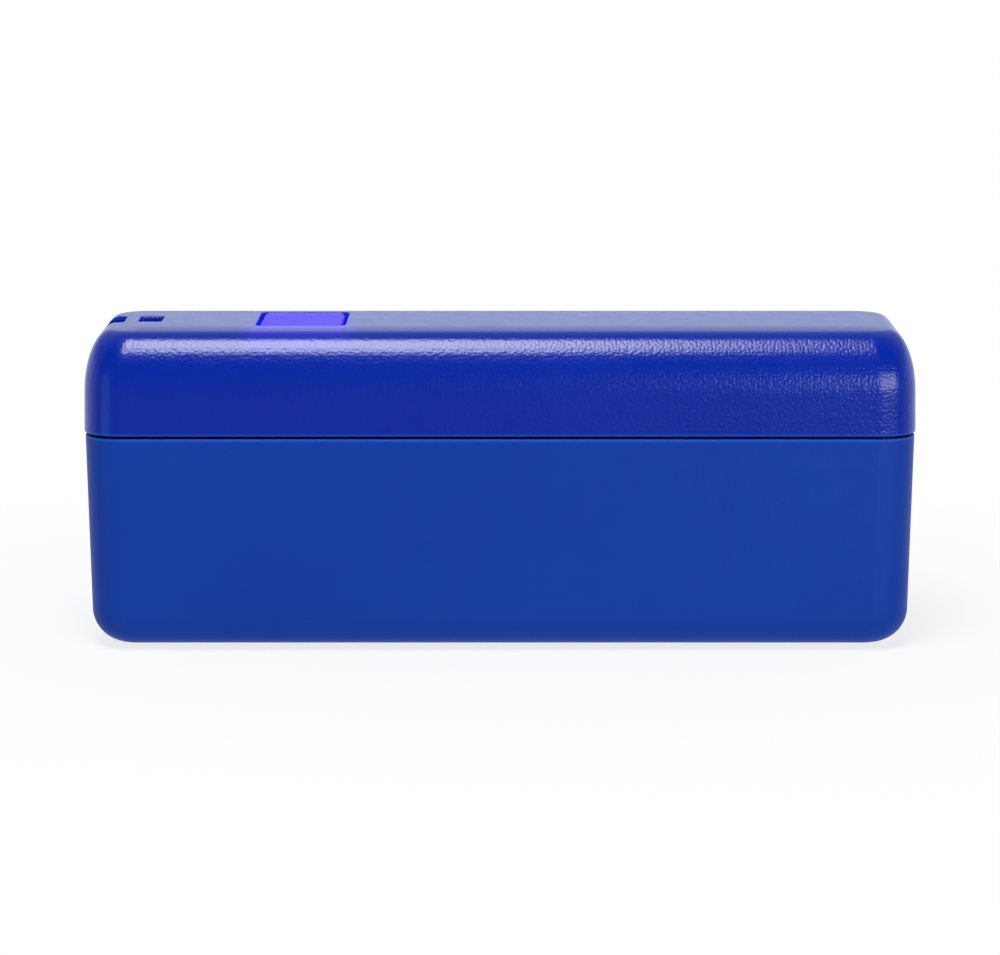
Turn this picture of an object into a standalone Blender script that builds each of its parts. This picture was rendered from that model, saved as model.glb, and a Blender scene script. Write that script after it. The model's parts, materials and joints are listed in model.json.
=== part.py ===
"""A direct injection box: a slim two-shell moulded case with a lit power button and a strap slot
on its top, sockets and slide switches in its back, and a battery door underneath.

Frame: metres, +Z up, origin on the floor under the middle of the case, front towards -Y.
Every length below is in millimetres, and the helpers turn it into metres.
"""

import math

import bmesh
import bpy
from mathutils import Matrix, Vector

MM = 0.001
X, Y, Z = 0, 1, 2
CLEAR = 0.3                 # free gap between pieces that fit into or against each other

# Case
WIDTH = 160.0
DEPTH = 41.0
BODY_HEIGHT = 41.4          # underside of the case to the parting line
LID_HEIGHT = 20.0           # parting line to the flat top
FOOT_PROUD = 0.6
WALL = 2.4
DRAFT = math.tan(math.radians(1.0))
PLAN_CORNER = 7.9           # corner radius seen from above
LID_EDGE_X = 5.1            # the top edge is a quarter ellipse: this wide at the two ends,
LID_EDGE_Y = 6.2            # this wide at front and back,
LID_EDGE_Z = 12.4           # and this tall
LID_CORNER_LOSS = 2.8       # how much smaller the corner radius is on the flat top
BODY_EDGE = 6.9             # round edge of the underside
BODY_CORNER_LOSS = 5.9
LID_OVERHANG = 0.2
SEAM_GAP = 0.4
SEAM_CHAMFER = 0.25
TONGUE_INSET = 1.25         # the lower shell's tongue stands in a groove of the upper one
TONGUE_HEIGHT = 1.8
CORNER_STEPS = 5
EDGE_STEPS = 6

BOTTOM = FOOT_PROUD
SEAM = BOTTOM + BODY_HEIGHT
TOP = SEAM + LID_HEIGHT
CEILING = TOP - WALL
FLOOR_TOP = BOTTOM + WALL

# Power button, on the top
BUTTON = (-38.6, 2.0)        # its middle, a little nearer the back than the front
BUTTON_HOLE = (17.4, 20.4)
BUTTON_CAP = (15.7, 19.7)
BUTTON_FLANGE = (19.2, 22.2)
BUTTON_CORNER = 1.6
COLLAR_WALL = 1.2
COLLAR_BOTTOM = TOP - 6.4
FLANGE_SPAN = (TOP - 8.3, TOP - 7.1)
CAP_WALL = 1.4
PRESS_POST_RADIUS = 2.0
TACT_SIZE = 12.0
TACT_HEIGHT = 3.6
PLUNGER_RADIUS = 3.4
PLUNGER_PROUD = 3.7
LAMP_SIZE = (3.0, 2.6)
LAMP_HEIGHT = 1.1
LAMP_Y = 7.9

# Strap slots, at the left end of the top
INNER_SLOT_X = (-70.6, -66.1)
OUTER_SLOT_X = (-77.0, -73.4)
SLOT_Y = (-2.0, 5.9)
SLOT_CORNER = 0.6
POCKET_FLOOR = TOP - 9.4
POCKET_WALL = 1.0

# Screws that close the case, and the rubber feet
BOSS_X = 70.2
BOSS_Y = 10.8
LOWER_BOSS_RADIUS = 3.6
UPPER_BOSS_RADIUS = 3.2
SCREW_SEAT = SEAM - 8.0
HEAD_RADIUS = 2.3
HEAD_HEIGHT = 1.8
SHANK_RADIUS = 1.2
PILOT_RADIUS = SHANK_RADIUS + CLEAR
FOOT_X = 64.8
FOOT_Y = 6.5
FOOT_RADIUS = 3.4
FOOT_RECESS = 0.8

# Circuit board, hung under the lid with its parts facing down
BOARD_HALF_X = 60.0
BOARD_HALF_Y = 14.5
BOARD_BOTTOM = 46.6
BOARD_TOP = BOARD_BOTTOM + 1.6
UNDER_BOARD = BOARD_BOTTOM - CLEAR
POST_X = 55.5
POST_Y = 10.5
POST_RADIUS = 2.6
CAPACITOR_XS = (20.0, 30.0)
CAN_Y = 0.5
CAN_RADIUS = 4.0
CAN_HEIGHT = 11.0
FILM_Y = 9.5
FILM_SIZE = (7.2, 2.8)
FILM_HEIGHT = 6.5
CHIP_PLACES = ((41.0, 1.0), (10.6, 5.0))
CHIP_SIZE = (9.6, 6.4)
CHIP_PIN_PITCH = 2.54
HEADER_Y = -11.0
PLUG_BOTTOM = UNDER_BOARD - 7.5
BATTERY_LEAD_X = 0.6
OUTPUT_LEAD_X = 48.2
LEAD_TOP = UNDER_BOARD - 2.3        # leads end here, inside their headers

# Audio transformer, under the board and over the battery bay
TRANSFORMER_X = -25.0
CORE_WIDTH = 21.0
CORE_DEPTH = 12.0
CORE_HEIGHT = 13.0
CORE_LIMB = 6.0
CORE_WINDOW = 4.6
CORE_YOKE = 2.6
BOBBIN_WALL = 0.8

# Battery bay, for a 9 V battery on its long edge
BATTERY_SIZE = (46.4, 17.5, 26.5)
BATTERY_LOW = (-57.2, -8.75, 4.1)
STUD_SPACING = 12.7
STUD_RADIUS = 2.8
STUD_HEIGHT = 1.7
SNAP_THICKNESS = 2.6
BAY_X = (-57.8, -3.2)
BAY_HALF_Y = 9.25
BAY_CEILING = 31.4
BAY_WALL = 1.2
LEAD_HOLE_RADIUS = 2.4
LEAD_HOLE_Z = BAY_CEILING - 4.0
NOTCH_RADIUS = 4.0
DOOR_THICKNESS = 2.2
HINGE_RADIUS = DOOR_THICKNESS / 2
HINGE_X = BAY_X[0] + CLEAR + HINGE_RADIUS
HINGE_Z = BOTTOM + HINGE_RADIUS
HINGE_PIN_RADIUS = 0.7
HINGE_PIN_REACH = BAY_HALF_Y + 0.8
DOOR_HALF_Y = BAY_HALF_Y - CLEAR

# Socket recess in the back
RECESS_X = (1.5, 68.5)
RECESS_Z = (8.0, 40.0)
RECESS_CORNER = 3.0
PANEL_FACE = 15.9
PANEL_BACK = PANEL_FACE - 2.2
SOCKET_Z = 24.0
JACK_XS = (11.0, 29.5)
JACK_BODY = (15.6, 13.6)
JACK_END = -10.5
JACK_BORE_RADIUS = 3.25
LUG_LENGTH = 3.0
LUG_XS = (-4.5, 0.0, 4.5)
BUSHING_RADIUS = 4.7
BUSHING_SPAN = (5.0, 18.9)
WASHER_THICKNESS = 0.5
NUT_RADIUS = 6.9
NUT_HEIGHT = 1.6
XLR_X = 52.5
XLR_FLANGE = (26.0, 31.0)
XLR_FLANGE_THICKNESS = 1.8
XLR_FLANGE_SCREW = (9.8, 12.2)
XLR_BARREL_RADIUS = 11.3
XLR_CAVITY_RADIUS = 8.3
XLR_BACK = -4.0
XLR_CUP_END = XLR_BACK - 3.0
XLR_INSERT_DEPTH = 6.5
XLR_PIN_RADIUS = 1.2
XLR_PIN_CIRCLE = 4.3
XLR_PIN_PROUD = 11.5
XLR_PIN_ANGLES = (150, 30, 270)

# Slide switches in the back wall, beside the sockets
PAD_X = -20.0
LIFT_X = -43.0
SWITCH_TRAVEL = 3.5
SWITCH_BODY = (13.0, 7.0)
SWITCH_SPAN_Y = (12.0, 17.1)
SLIDER = (4.4, 3.9)
SLIDER_SPAN_Y = (14.6, 19.3)
GRIP_XS = (-1.1, 0.0, 1.1)

BLUE_SHELL = (0.012, 0.030, 0.240, 1.0)
VIOLET_CAP = (0.190, 0.140, 0.980, 1.0)
BLACK_PLASTIC = (0.015, 0.015, 0.017, 1.0)
GREY_PLASTIC = (0.250, 0.250, 0.260, 1.0)
WHITE_PLASTIC = (0.800, 0.790, 0.740, 1.0)
RED_PLASTIC = (0.500, 0.020, 0.020, 1.0)
NICKEL = (0.620, 0.600, 0.560, 1.0)
STEEL = (0.450, 0.450, 0.460, 1.0)
BRASS = (0.720, 0.520, 0.200, 1.0)
COPPER = (0.720, 0.330, 0.140, 1.0)
BOARD_GREEN = (0.010, 0.140, 0.050, 1.0)
RUBBER_BLACK = (0.020, 0.020, 0.020, 1.0)
FOAM_GREY = (0.090, 0.090, 0.095, 1.0)


# ---------------------------------------------------------------- helpers

def make_collection(name):
    made = bpy.data.collections.new(name)
    bpy.context.scene.collection.children.link(made)
    return made


def material(name, colour, roughness, metallic=0.0):
    made = bpy.data.materials.new(name)
    made.use_nodes = True
    shader = made.node_tree.nodes["Principled BSDF"]
    shader.inputs["Base Color"].default_value = colour
    shader.inputs["Roughness"].default_value = roughness
    shader.inputs["Metallic"].default_value = metallic
    return made


def add(name, data, look=None):
    """Link a new object: a part when it has a material, and a hidden cutter when it has none."""
    made = bpy.data.objects.new(name, data)
    if look is None:
        cutters.objects.link(made)
        made.hide_render = True
        made.display_type = "WIRE"
    else:
        parts.objects.link(made)
        if look.name not in data.materials:
            data.materials.append(look)
    return made


def mesh_from(bm, name):
    bmesh.ops.recalc_face_normals(bm, faces=bm.faces)
    mesh = bpy.data.meshes.new(name)
    bm.to_mesh(mesh)
    bm.free()
    mesh.shade_smooth()
    mesh.set_sharp_from_angle(angle=math.radians(32))
    return mesh


def boxes(name, spans, look=None, round_axis=None, radius=0.0, steps=3):
    """One or more boxes from (low corner, high corner), with the edges along one axis rounded."""
    bm = bmesh.new()
    for low, high in spans:
        size = [(high[i] - low[i]) * MM for i in range(3)]
        middle = (Vector(low) + Vector(high)) / 2 * MM
        place = Matrix.Translation(middle) @ Matrix.Diagonal((*size, 1))
        made = bmesh.ops.create_cube(bm, size=1.0, matrix=place)
        if round_axis is None:
            continue
        along = []
        for edge in {edge for vert in made["verts"] for edge in vert.link_edges}:
            run = edge.verts[1].co - edge.verts[0].co
            if abs(run[round_axis]) > 0.99 * run.length:
                along.append(edge)
        along.sort(key=lambda edge: tuple(edge.verts[0].co) + tuple(edge.verts[1].co))
        bmesh.ops.bevel(bm, geom=along, offset=radius * MM, segments=steps, affect="EDGES",
                        profile=0.5)
    return add(name, mesh_from(bm, name), look)


def cylinders(name, starts, axis, length, radius, look=None, segments=20):
    """Equal cylinders that run from their start points along one axis."""
    turn = (Matrix.Rotation(math.pi / 2, 4, "Y"), Matrix.Rotation(math.pi / 2, 4, "X"), Matrix())
    bm = bmesh.new()
    for start in starts:
        middle = Vector(start)
        middle[axis] += length / 2
        bmesh.ops.create_cone(bm, cap_ends=True, segments=segments, radius1=radius * MM,
                              radius2=radius * MM, depth=length * MM,
                              matrix=Matrix.Translation(middle * MM) @ turn[axis])
    return add(name, mesh_from(bm, name), look)


def turned(name, profile, places, look, axis=Z, steps=20):
    """Equal turned pieces, one object at each place, numbered when there are several.

    The profile is (radius, height) points down the outer side. A profile that starts off the
    axis is closed into a ring.
    """
    count = len(profile)
    edges = [(i, i + 1) for i in range(count - 1)]
    if profile[0][0] > 0:
        edges.append((count - 1, 0))
    outline = bpy.data.meshes.new(name)
    outline.from_pydata([(radius * MM, 0, height * MM) for radius, height in profile], edges, [])
    for number, place in enumerate(places, start=1):
        made = add(f"{name}_{number}" if len(places) > 1 else name, outline, look)
        made.location = Vector(place) * MM
        if axis == Y:
            made.rotation_euler.x = -math.pi / 2
        screw = made.modifiers.new("turn", "SCREW")
        screw.steps = steps
        screw.render_steps = steps
        screw.use_merge_vertices = True
        screw.merge_threshold = 0.000001


def ribbon(name, middle_x, width, route, look, thickness=0.9):
    """A flat ribbon cable, as wide as its wires side by side along X, on a curve through (y, z)."""
    path = smooth_path([Vector((middle_x, y, z)) for y, z in route])
    bm = bmesh.new()
    rings = []
    for i, point in enumerate(path):
        run = (path[min(i + 1, len(path) - 1)] - path[max(i - 1, 0)]).normalized()
        off = Vector((0, -run.z, run.y)) * thickness / 2
        side = Vector((width / 2, 0, 0))
        rings.append([bm.verts.new((point + corner) * MM)
                      for corner in (side + off, off - side, -side - off, side - off)])
    for ring, following in zip(rings, rings[1:]):
        for i in range(4):
            bm.faces.new((ring[i], ring[i - 1], following[i - 1], following[i]))
    bm.faces.new(rings[0])
    bm.faces.new(rings[-1])
    return add(name, mesh_from(bm, name), look)


def lead(name, route, radius, look):
    """A round insulated lead along a smooth curve through the points of its route."""
    curve = bpy.data.curves.new(name, "CURVE")
    curve.dimensions = "3D"
    curve.bevel_depth = radius * MM
    curve.bevel_resolution = 2
    curve.use_fill_caps = True
    points = smooth_path([Vector(point) for point in route])
    spline = curve.splines.new("POLY")
    spline.points.add(len(points) - 1)
    for held, point in zip(spline.points, points):
        held.co = (*(point * MM), 1)
    return add(name, curve, look)


def smooth_path(points, steps=4):
    """Points along a Catmull-Rom curve through the given ones."""
    ends = [2 * points[0] - points[1]] + points + [2 * points[-1] - points[-2]]
    path = [points[0]]
    for i in range(1, len(ends) - 2):
        a, b, c, d = ends[i - 1:i + 3]
        for step in range(1, steps + 1):
            t = step / steps
            path.append(0.5 * (2 * b + (c - a) * t + (2 * a - 5 * b + 4 * c - d) * t ** 2
                               + (3 * b - a - 3 * c + d) * t ** 3))
    return path


def boolean(target, tool, operation):
    made = target.modifiers.new(tool.name, "BOOLEAN")
    made.operation = operation
    made.object = tool
    made.solver = "EXACT"


def fuse(target, tool):
    boolean(target, tool, "UNION")


def cut(target, tool):
    boolean(target, tool, "DIFFERENCE")


def corners(x, y, z):
    return [(side_x * x, side_y * y, z) for side_x in (-1, 1) for side_y in (-1, 1)]


def column(x, y, low, high):
    """Low and high corner of a box from its (low, high) spans along X and Y."""
    return ((x[0], y[0], low), (x[1], y[1], high))


def around(x, y, size, low, high):
    """Low and high corner of a box centred at x, y."""
    return ((x - size[0] / 2, y - size[1] / 2, low), (x + size[0] / 2, y + size[1] / 2, high))


# ---------------------------------------------------------------- the two shells

def case_ring(bm, inset_x, inset_y, corner, z):
    """A rounded rectangle inside the case's largest outline, as a ring of points."""
    ring = []
    for index, (side_x, side_y) in enumerate(((1, 1), (-1, 1), (-1, -1), (1, -1))):
        middle_x = side_x * (WIDTH / 2 - inset_x - corner)
        middle_y = side_y * (DEPTH / 2 - inset_y - corner)
        for step in range(CORNER_STEPS + 1):
            angle = (index + step / CORNER_STEPS) * math.pi / 2
            ring.append(bm.verts.new(Vector((middle_x + corner * math.cos(angle),
                                             middle_y + corner * math.sin(angle), z)) * MM))
    return ring


def lofted(name, levels, look=None):
    """A closed solid through rounded rectangles, capped at the first and the last one."""
    bm = bmesh.new()
    rings = [case_ring(bm, *level) for level in levels]
    for ring, following in zip(rings, rings[1:]):
        count = len(ring)
        for i in range(count):
            bm.faces.new((ring[i], ring[(i + 1) % count],
                          following[(i + 1) % count], following[i]))
    bm.faces.new(rings[0])
    bm.faces.new(rings[-1])
    return add(name, mesh_from(bm, name), look)


def lid_levels(inward):
    """Levels of the lid from its flat top down to where its round edge ends, inward of the skin."""
    start = TOP - LID_EDGE_Z
    lead = inward + (start - SEAM) * DRAFT
    shrink = 0.6 * inward
    levels = []
    for step in range(EDGE_STEPS, -1, -1):
        angle = step / EDGE_STEPS * math.pi / 2
        round_off = 1 - math.cos(angle)
        levels.append((lead + (LID_EDGE_X - shrink) * round_off,
                       lead + (LID_EDGE_Y - shrink) * round_off,
                       PLAN_CORNER - inward - LID_CORNER_LOSS * round_off,
                       start + (LID_EDGE_Z - inward) * math.sin(angle)))
    return levels


def body_levels(inward):
    """Levels of the lower shell from its flat underside up to where its round edge ends."""
    edge = BODY_EDGE - inward
    start = BOTTOM + BODY_EDGE
    lead = inward + LID_OVERHANG + (SEAM - start) * DRAFT
    levels = []
    for step in range(EDGE_STEPS, -1, -1):
        angle = step / EDGE_STEPS * math.pi / 2
        round_off = 1 - math.cos(angle)
        inset = lead + edge * round_off
        levels.append((inset, inset,
                       PLAN_CORNER - inward - (BODY_CORNER_LOSS - inward) * round_off,
                       start - edge * math.sin(angle)))
    return levels


def rim(inset, z):
    return (inset, inset, PLAN_CORNER - inset, z)


def upper_shell(look):
    edge = SEAM + SEAM_GAP / 2
    groove_top = SEAM + TONGUE_HEIGHT + CLEAR
    groove = TONGUE_INSET - CLEAR
    inner = lid_levels(WALL)
    shell = lofted("upper_shell", lid_levels(0) + [
        rim(SEAM_CHAMFER * DRAFT, edge + SEAM_CHAMFER),
        rim(SEAM_CHAMFER, edge),
        rim(groove, edge),
        rim(groove, groove_top),
        rim(WALL, groove_top),
    ] + inner[::-1], look)
    collar = tuple(size + 2 * COLLAR_WALL for size in BUTTON_HOLE)
    fuse(shell, boxes("button_collar", [around(*BUTTON, collar, COLLAR_BOTTOM, CEILING + 1)],
                      round_axis=Z, radius=BUTTON_CORNER + COLLAR_WALL))
    boss_bottom = SEAM + CLEAR
    fuse(shell, cylinders("upper_bosses", corners(BOSS_X, BOSS_Y, boss_bottom), Z,
                          CEILING + 1 - boss_bottom, UPPER_BOSS_RADIUS))
    post_bottom = BOARD_TOP + CLEAR
    fuse(shell, cylinders("board_posts", corners(POST_X, POST_Y, post_bottom), Z,
                          CEILING + 1 - post_bottom, POST_RADIUS))
    cut(shell, boxes("button_hole", [around(*BUTTON, BUTTON_HOLE, COLLAR_BOTTOM - 1, TOP + 1)],
                     round_axis=Z, radius=BUTTON_CORNER))
    cut(shell, cylinders("boss_pilots", corners(BOSS_X, BOSS_Y, boss_bottom - 1), Z, 11,
                         PILOT_RADIUS, segments=12))
    cut(shell, cylinders("post_pilots", corners(POST_X, POST_Y, post_bottom - 1), Z, 7,
                         PILOT_RADIUS, segments=12))
    cut(shell, boxes("strap_slots", [column(span, SLOT_Y, TOP - 8, TOP + 1)
                                     for span in (INNER_SLOT_X, OUTER_SLOT_X)],
                     round_axis=Z, radius=SLOT_CORNER, steps=2))
    return shell


def strap_pocket(look):
    """A tray under the strap slots that keeps dust out; the shell closes its open end."""
    span_x = (OUTER_SLOT_X[0] - 1, INNER_SLOT_X[1] + CLEAR)
    span_y = (SLOT_Y[0] - CLEAR, SLOT_Y[1] + CLEAR)
    outer_x = (span_x[0], span_x[1] + POCKET_WALL)
    outer_y = (span_y[0] - POCKET_WALL, span_y[1] + POCKET_WALL)
    tray = boxes("strap_pocket", [column(outer_x, outer_y, POCKET_FLOOR - POCKET_WALL,
                                         CEILING - CLEAR)], look)
    open_x = (span_x[0] - 1, span_x[1])
    cut(tray, boxes("pocket_space", [column(open_x, span_y, POCKET_FLOOR, TOP)]))
    fitted = lid_levels(WALL + CLEAR)
    fitted.append((*fitted[-1][:3], SEAM))
    boolean(tray, lofted("lid_inside", fitted), "INTERSECT")
    return tray


def lower_shell(look):
    edge = SEAM - SEAM_GAP / 2
    tongue_top = SEAM + TONGUE_HEIGHT
    shell = lofted("lower_shell", body_levels(0) + [
        rim(LID_OVERHANG, edge - SEAM_CHAMFER),
        rim(LID_OVERHANG + SEAM_CHAMFER, edge),
        rim(TONGUE_INSET, edge),
        rim(TONGUE_INSET, tongue_top),
        rim(WALL + LID_OVERHANG, tongue_top),
    ] + body_levels(WALL)[::-1], look)
    add_screw_bosses(shell)
    add_battery_bay(shell)
    add_socket_recess(shell)
    add_switch_windows(shell)
    cut(shell, cylinders("foot_recesses", corners(FOOT_X, FOOT_Y, BOTTOM - 1), Z, 1 + FOOT_RECESS,
                         FOOT_RADIUS + CLEAR, segments=24))
    return shell


def add_screw_bosses(shell):
    boss_bottom = FLOOR_TOP - 1
    boss_top = SEAM - CLEAR
    fuse(shell, cylinders("lower_bosses", corners(BOSS_X, BOSS_Y, boss_bottom), Z,
                          boss_top - boss_bottom, LOWER_BOSS_RADIUS))
    cut(shell, cylinders("counterbores", corners(BOSS_X, BOSS_Y, -1), Z, SCREW_SEAT + 1,
                         HEAD_RADIUS + CLEAR, segments=16))
    cut(shell, cylinders("screw_holes", corners(BOSS_X, BOSS_Y, SCREW_SEAT - 1), Z, 11,
                         PILOT_RADIUS, segments=12))


def add_battery_bay(shell):
    outer_x = (BAY_X[0] - BAY_WALL, BAY_X[1] + BAY_WALL)
    outer_y = (-BAY_HALF_Y - BAY_WALL, BAY_HALF_Y + BAY_WALL)
    fuse(shell, boxes("bay_walls", [column(outer_x, outer_y, FLOOR_TOP - 1,
                                           BAY_CEILING + BAY_WALL)]))
    cut(shell, boxes("bay_space", [column(BAY_X, (-BAY_HALF_Y, BAY_HALF_Y), -1, BAY_CEILING)]))
    cut(shell, cylinders("lead_hole", [(BAY_X[1] - 1, 0, LEAD_HOLE_Z)], X, 4, LEAD_HOLE_RADIUS,
                         segments=16))
    reach = HINGE_PIN_REACH + CLEAR
    cut(shell, cylinders("hinge_sockets", [(HINGE_X, -reach, HINGE_Z)], Y, 2 * reach,
                         HINGE_PIN_RADIUS + CLEAR, segments=12))
    cut(shell, cylinders("finger_notch", [(BAY_X[1] - 1, 0, BOTTOM - 2.2)], X, 5, NOTCH_RADIUS,
                         segments=24))


def add_socket_recess(shell):
    frame = 2.2
    fuse(shell, boxes("recess_walls", [((RECESS_X[0] - frame, PANEL_BACK, RECESS_Z[0] - frame),
                                        (RECESS_X[1] + frame, DEPTH / 2 - 2, SEAM - CLEAR))]))
    cut(shell, boxes("recess_space", [((RECESS_X[0], PANEL_FACE, RECESS_Z[0]),
                                       (RECESS_X[1], DEPTH / 2 + 2, RECESS_Z[1]))],
                     round_axis=Y, radius=RECESS_CORNER))
    depth = PANEL_FACE - PANEL_BACK + 2
    cut(shell, cylinders("jack_holes", [(x, PANEL_BACK - 1, SOCKET_Z) for x in JACK_XS], Y, depth,
                         BUSHING_RADIUS + CLEAR))
    cut(shell, cylinders("xlr_hole", [(XLR_X, PANEL_BACK - 1, SOCKET_Z)], Y, depth,
                         XLR_BARREL_RADIUS + CLEAR, segments=32))
    cut(shell, cylinders("xlr_screw_holes", xlr_screw_places(PANEL_BACK - 1), Y, depth,
                         PILOT_RADIUS, segments=12))


def xlr_screw_places(y):
    across, up = XLR_FLANGE_SCREW
    return [(XLR_X - across, y, SOCKET_Z + up), (XLR_X + across, y, SOCKET_Z - up)]


def add_switch_windows(shell):
    half_x = (SLIDER[0] + SWITCH_TRAVEL) / 2 + CLEAR
    half_z = SLIDER[1] / 2 + CLEAR
    cut(shell, boxes("switch_windows", [
        ((x - half_x, SWITCH_SPAN_Y[1] - 1, SOCKET_Z - half_z),
         (x + half_x, DEPTH / 2 + 1, SOCKET_Z + half_z)) for x in (PAD_X, LIFT_X)],
        round_axis=Y, radius=0.5, steps=2))


# ---------------------------------------------------------------- button and its switch

def power_button(look):
    flange_bottom, flange_top = FLANGE_SPAN
    cap = boxes("power_button", [around(*BUTTON, BUTTON_CAP, flange_bottom + 0.5, TOP)], look,
                round_axis=Z, radius=BUTTON_CORNER - CLEAR)
    fuse(cap, boxes("cap_flange", [around(*BUTTON, BUTTON_FLANGE, flange_bottom, flange_top)],
                    round_axis=Z, radius=BUTTON_CORNER))
    inside = tuple(size - 2 * CAP_WALL for size in BUTTON_CAP)
    cut(cap, boxes("cap_space", [around(*BUTTON, inside, flange_bottom - 1, TOP - 1.8)],
                   round_axis=Z, radius=0.8))
    post_bottom = BOARD_TOP + 2 * CLEAR + TACT_HEIGHT + PLUNGER_PROUD + CLEAR
    fuse(cap, cylinders("cap_post", [(*BUTTON, post_bottom)], Z, TOP - 1.3 - post_bottom,
                        PRESS_POST_RADIUS, segments=16))
    return cap


def tact_switch(look, plunger_look):
    bottom = BOARD_TOP + CLEAR
    size = (TACT_SIZE, TACT_SIZE)
    body = boxes("tact_switch", [around(*BUTTON, size, bottom, bottom + TACT_HEIGHT)], look,
                 round_axis=Z, radius=0.8)
    well = bottom + 0.5
    top = bottom + TACT_HEIGHT + PLUNGER_PROUD
    cut(body, cylinders("plunger_well", [(*BUTTON, well)], Z, TACT_HEIGHT,
                        PLUNGER_RADIUS + CLEAR, segments=24))
    turned("switch_plunger", [
        (0, top),
        (PLUNGER_RADIUS - 0.4, top),
        (PLUNGER_RADIUS, top - 0.4),
        (PLUNGER_RADIUS, well + 1.4),
        (0, well + 1.4),
    ], [(*BUTTON, 0)], plunger_look)


def button_lamps(look):
    """Two flat surface lamps that shine up into the translucent cap."""
    bottom = BOARD_TOP + CLEAR
    for number, side in enumerate((-1, 1), start=1):
        boxes(f"button_lamp_{number}", [around(BUTTON[X], BUTTON[Y] + side * LAMP_Y, LAMP_SIZE,
                                               bottom, bottom + LAMP_HEIGHT)], look, round_axis=Z,
              radius=0.3, steps=1)


# ---------------------------------------------------------------- circuit board

def main_board(look):
    size = (2 * BOARD_HALF_X, 2 * BOARD_HALF_Y)
    board = boxes("main_board", [around(0, 0, size, BOARD_BOTTOM, BOARD_TOP)], look,
                  round_axis=Z, radius=1.5)
    cut(board, cylinders("board_holes", corners(POST_X, POST_Y, BOARD_BOTTOM - 1), Z, 4,
                         PILOT_RADIUS, segments=12))


def screw_profile(length):
    """A pan head on a plain shank that points up, from the tip down."""
    return [
        (0, length),
        (SHANK_RADIUS * 0.4, length - 0.2),
        (SHANK_RADIUS, length - 1.4),
        (SHANK_RADIUS, 0),
        (HEAD_RADIUS, 0),
        (HEAD_RADIUS, -HEAD_HEIGHT * 0.5),
        (HEAD_RADIUS * 0.75, -HEAD_HEIGHT),
        (0, -HEAD_HEIGHT),
    ]


def transformer(core_look, bobbin_look, winding_look):
    """A small audio transformer over the battery bay: a core with two windows, a bobbin, a coil."""
    x = TRANSFORMER_X
    low, high = UNDER_BOARD - CORE_HEIGHT, UNDER_BOARD
    core = boxes("transformer_core", [around(x, 0, (CORE_WIDTH, CORE_DEPTH), low, high)], core_look)
    windows = []
    for side in (-1, 1):
        edges = sorted((x + side * CORE_LIMB / 2, x + side * (CORE_LIMB / 2 + CORE_WINDOW)))
        windows.append(column(edges, (-CORE_DEPTH, CORE_DEPTH), low + CORE_YOKE, high - CORE_YOKE))
    cut(core, boxes("core_windows", windows))

    bobbin_low, bobbin_high = low + CORE_YOKE + CLEAR, high - CORE_YOKE - CLEAR
    hole = (CORE_LIMB + 2 * CLEAR, CORE_DEPTH + 2 * CLEAR)
    tube = tuple(size + 2 * BOBBIN_WALL for size in hole)
    flange = (CORE_LIMB + 2 * CORE_WINDOW - 2 * CLEAR, CORE_DEPTH + 7.0)
    bobbin = boxes("transformer_bobbin", [around(x, 0, tube, bobbin_low, bobbin_high)], bobbin_look)
    for label, bottom in (("low", bobbin_low), ("high", bobbin_high - BOBBIN_WALL)):
        fuse(bobbin, boxes(f"bobbin_flange_{label}", [around(x, 0, flange, bottom,
                                                             bottom + BOBBIN_WALL)]))
    cut(bobbin, boxes("bobbin_hole", [around(x, 0, hole, low, high)]))

    coil_low, coil_high = bobbin_low + BOBBIN_WALL + CLEAR, bobbin_high - BOBBIN_WALL - CLEAR
    coil_size = tuple(size - 2 * CLEAR for size in flange)
    coil = boxes("transformer_coil", [around(x, 0, coil_size, coil_low, coil_high)], winding_look,
                 round_axis=Z, radius=1.0)
    inside = tuple(size + 2 * CLEAR for size in tube)
    cut(coil, boxes("coil_hole", [around(x, 0, inside, low, high)]))


def board_parts(can_look, film_look, chip_look, header_look):
    """Capacitors, amplifier chips and wire headers on the underside of the board."""
    top = UNDER_BOARD
    turned("electrolytic_capacitor", [
        (0, 0), (CAN_RADIUS, 0), (CAN_RADIUS, -0.9), (CAN_RADIUS - 0.35, -1.5),
        (CAN_RADIUS, -2.1), (CAN_RADIUS, 0.4 - CAN_HEIGHT), (CAN_RADIUS - 0.4, -CAN_HEIGHT),
        (0, -CAN_HEIGHT),
    ], [(x, CAN_Y, top) for x in CAPACITOR_XS], can_look)
    for number, x in enumerate(CAPACITOR_XS, start=1):
        boxes(f"film_capacitor_{number}", [around(x, FILM_Y, FILM_SIZE, top - FILM_HEIGHT, top)],
              film_look, round_axis=Z, radius=0.5, steps=2)
    for number, (x, y) in enumerate(CHIP_PLACES, start=1):
        chip = boxes(f"amplifier_chip_{number}", [around(x, y, CHIP_SIZE, top - 3.9, top - 0.6)],
                     chip_look)
        fuse(chip, boxes(f"chip_legs_{number}", [
            around(x + (place - 1.5) * CHIP_PIN_PITCH, y + side * 3.3, (1.2, 0.6), top - 2.4, top)
            for side in (-1, 1) for place in range(4)]))
    for name, x, y in (("output_header", OUTPUT_LEAD_X, HEADER_Y),
                       ("battery_header", BATTERY_LEAD_X, 1.0)):
        header = boxes(name, [around(x, y, (8.6, 5.6), PLUG_BOTTOM, top)], header_look)
        cut(header, boxes(f"{name}_space", [around(x, y, (7.0, 4.0), PLUG_BOTTOM - 1,
                                                   top - 2.0)]))


# ---------------------------------------------------------------- sockets

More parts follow.
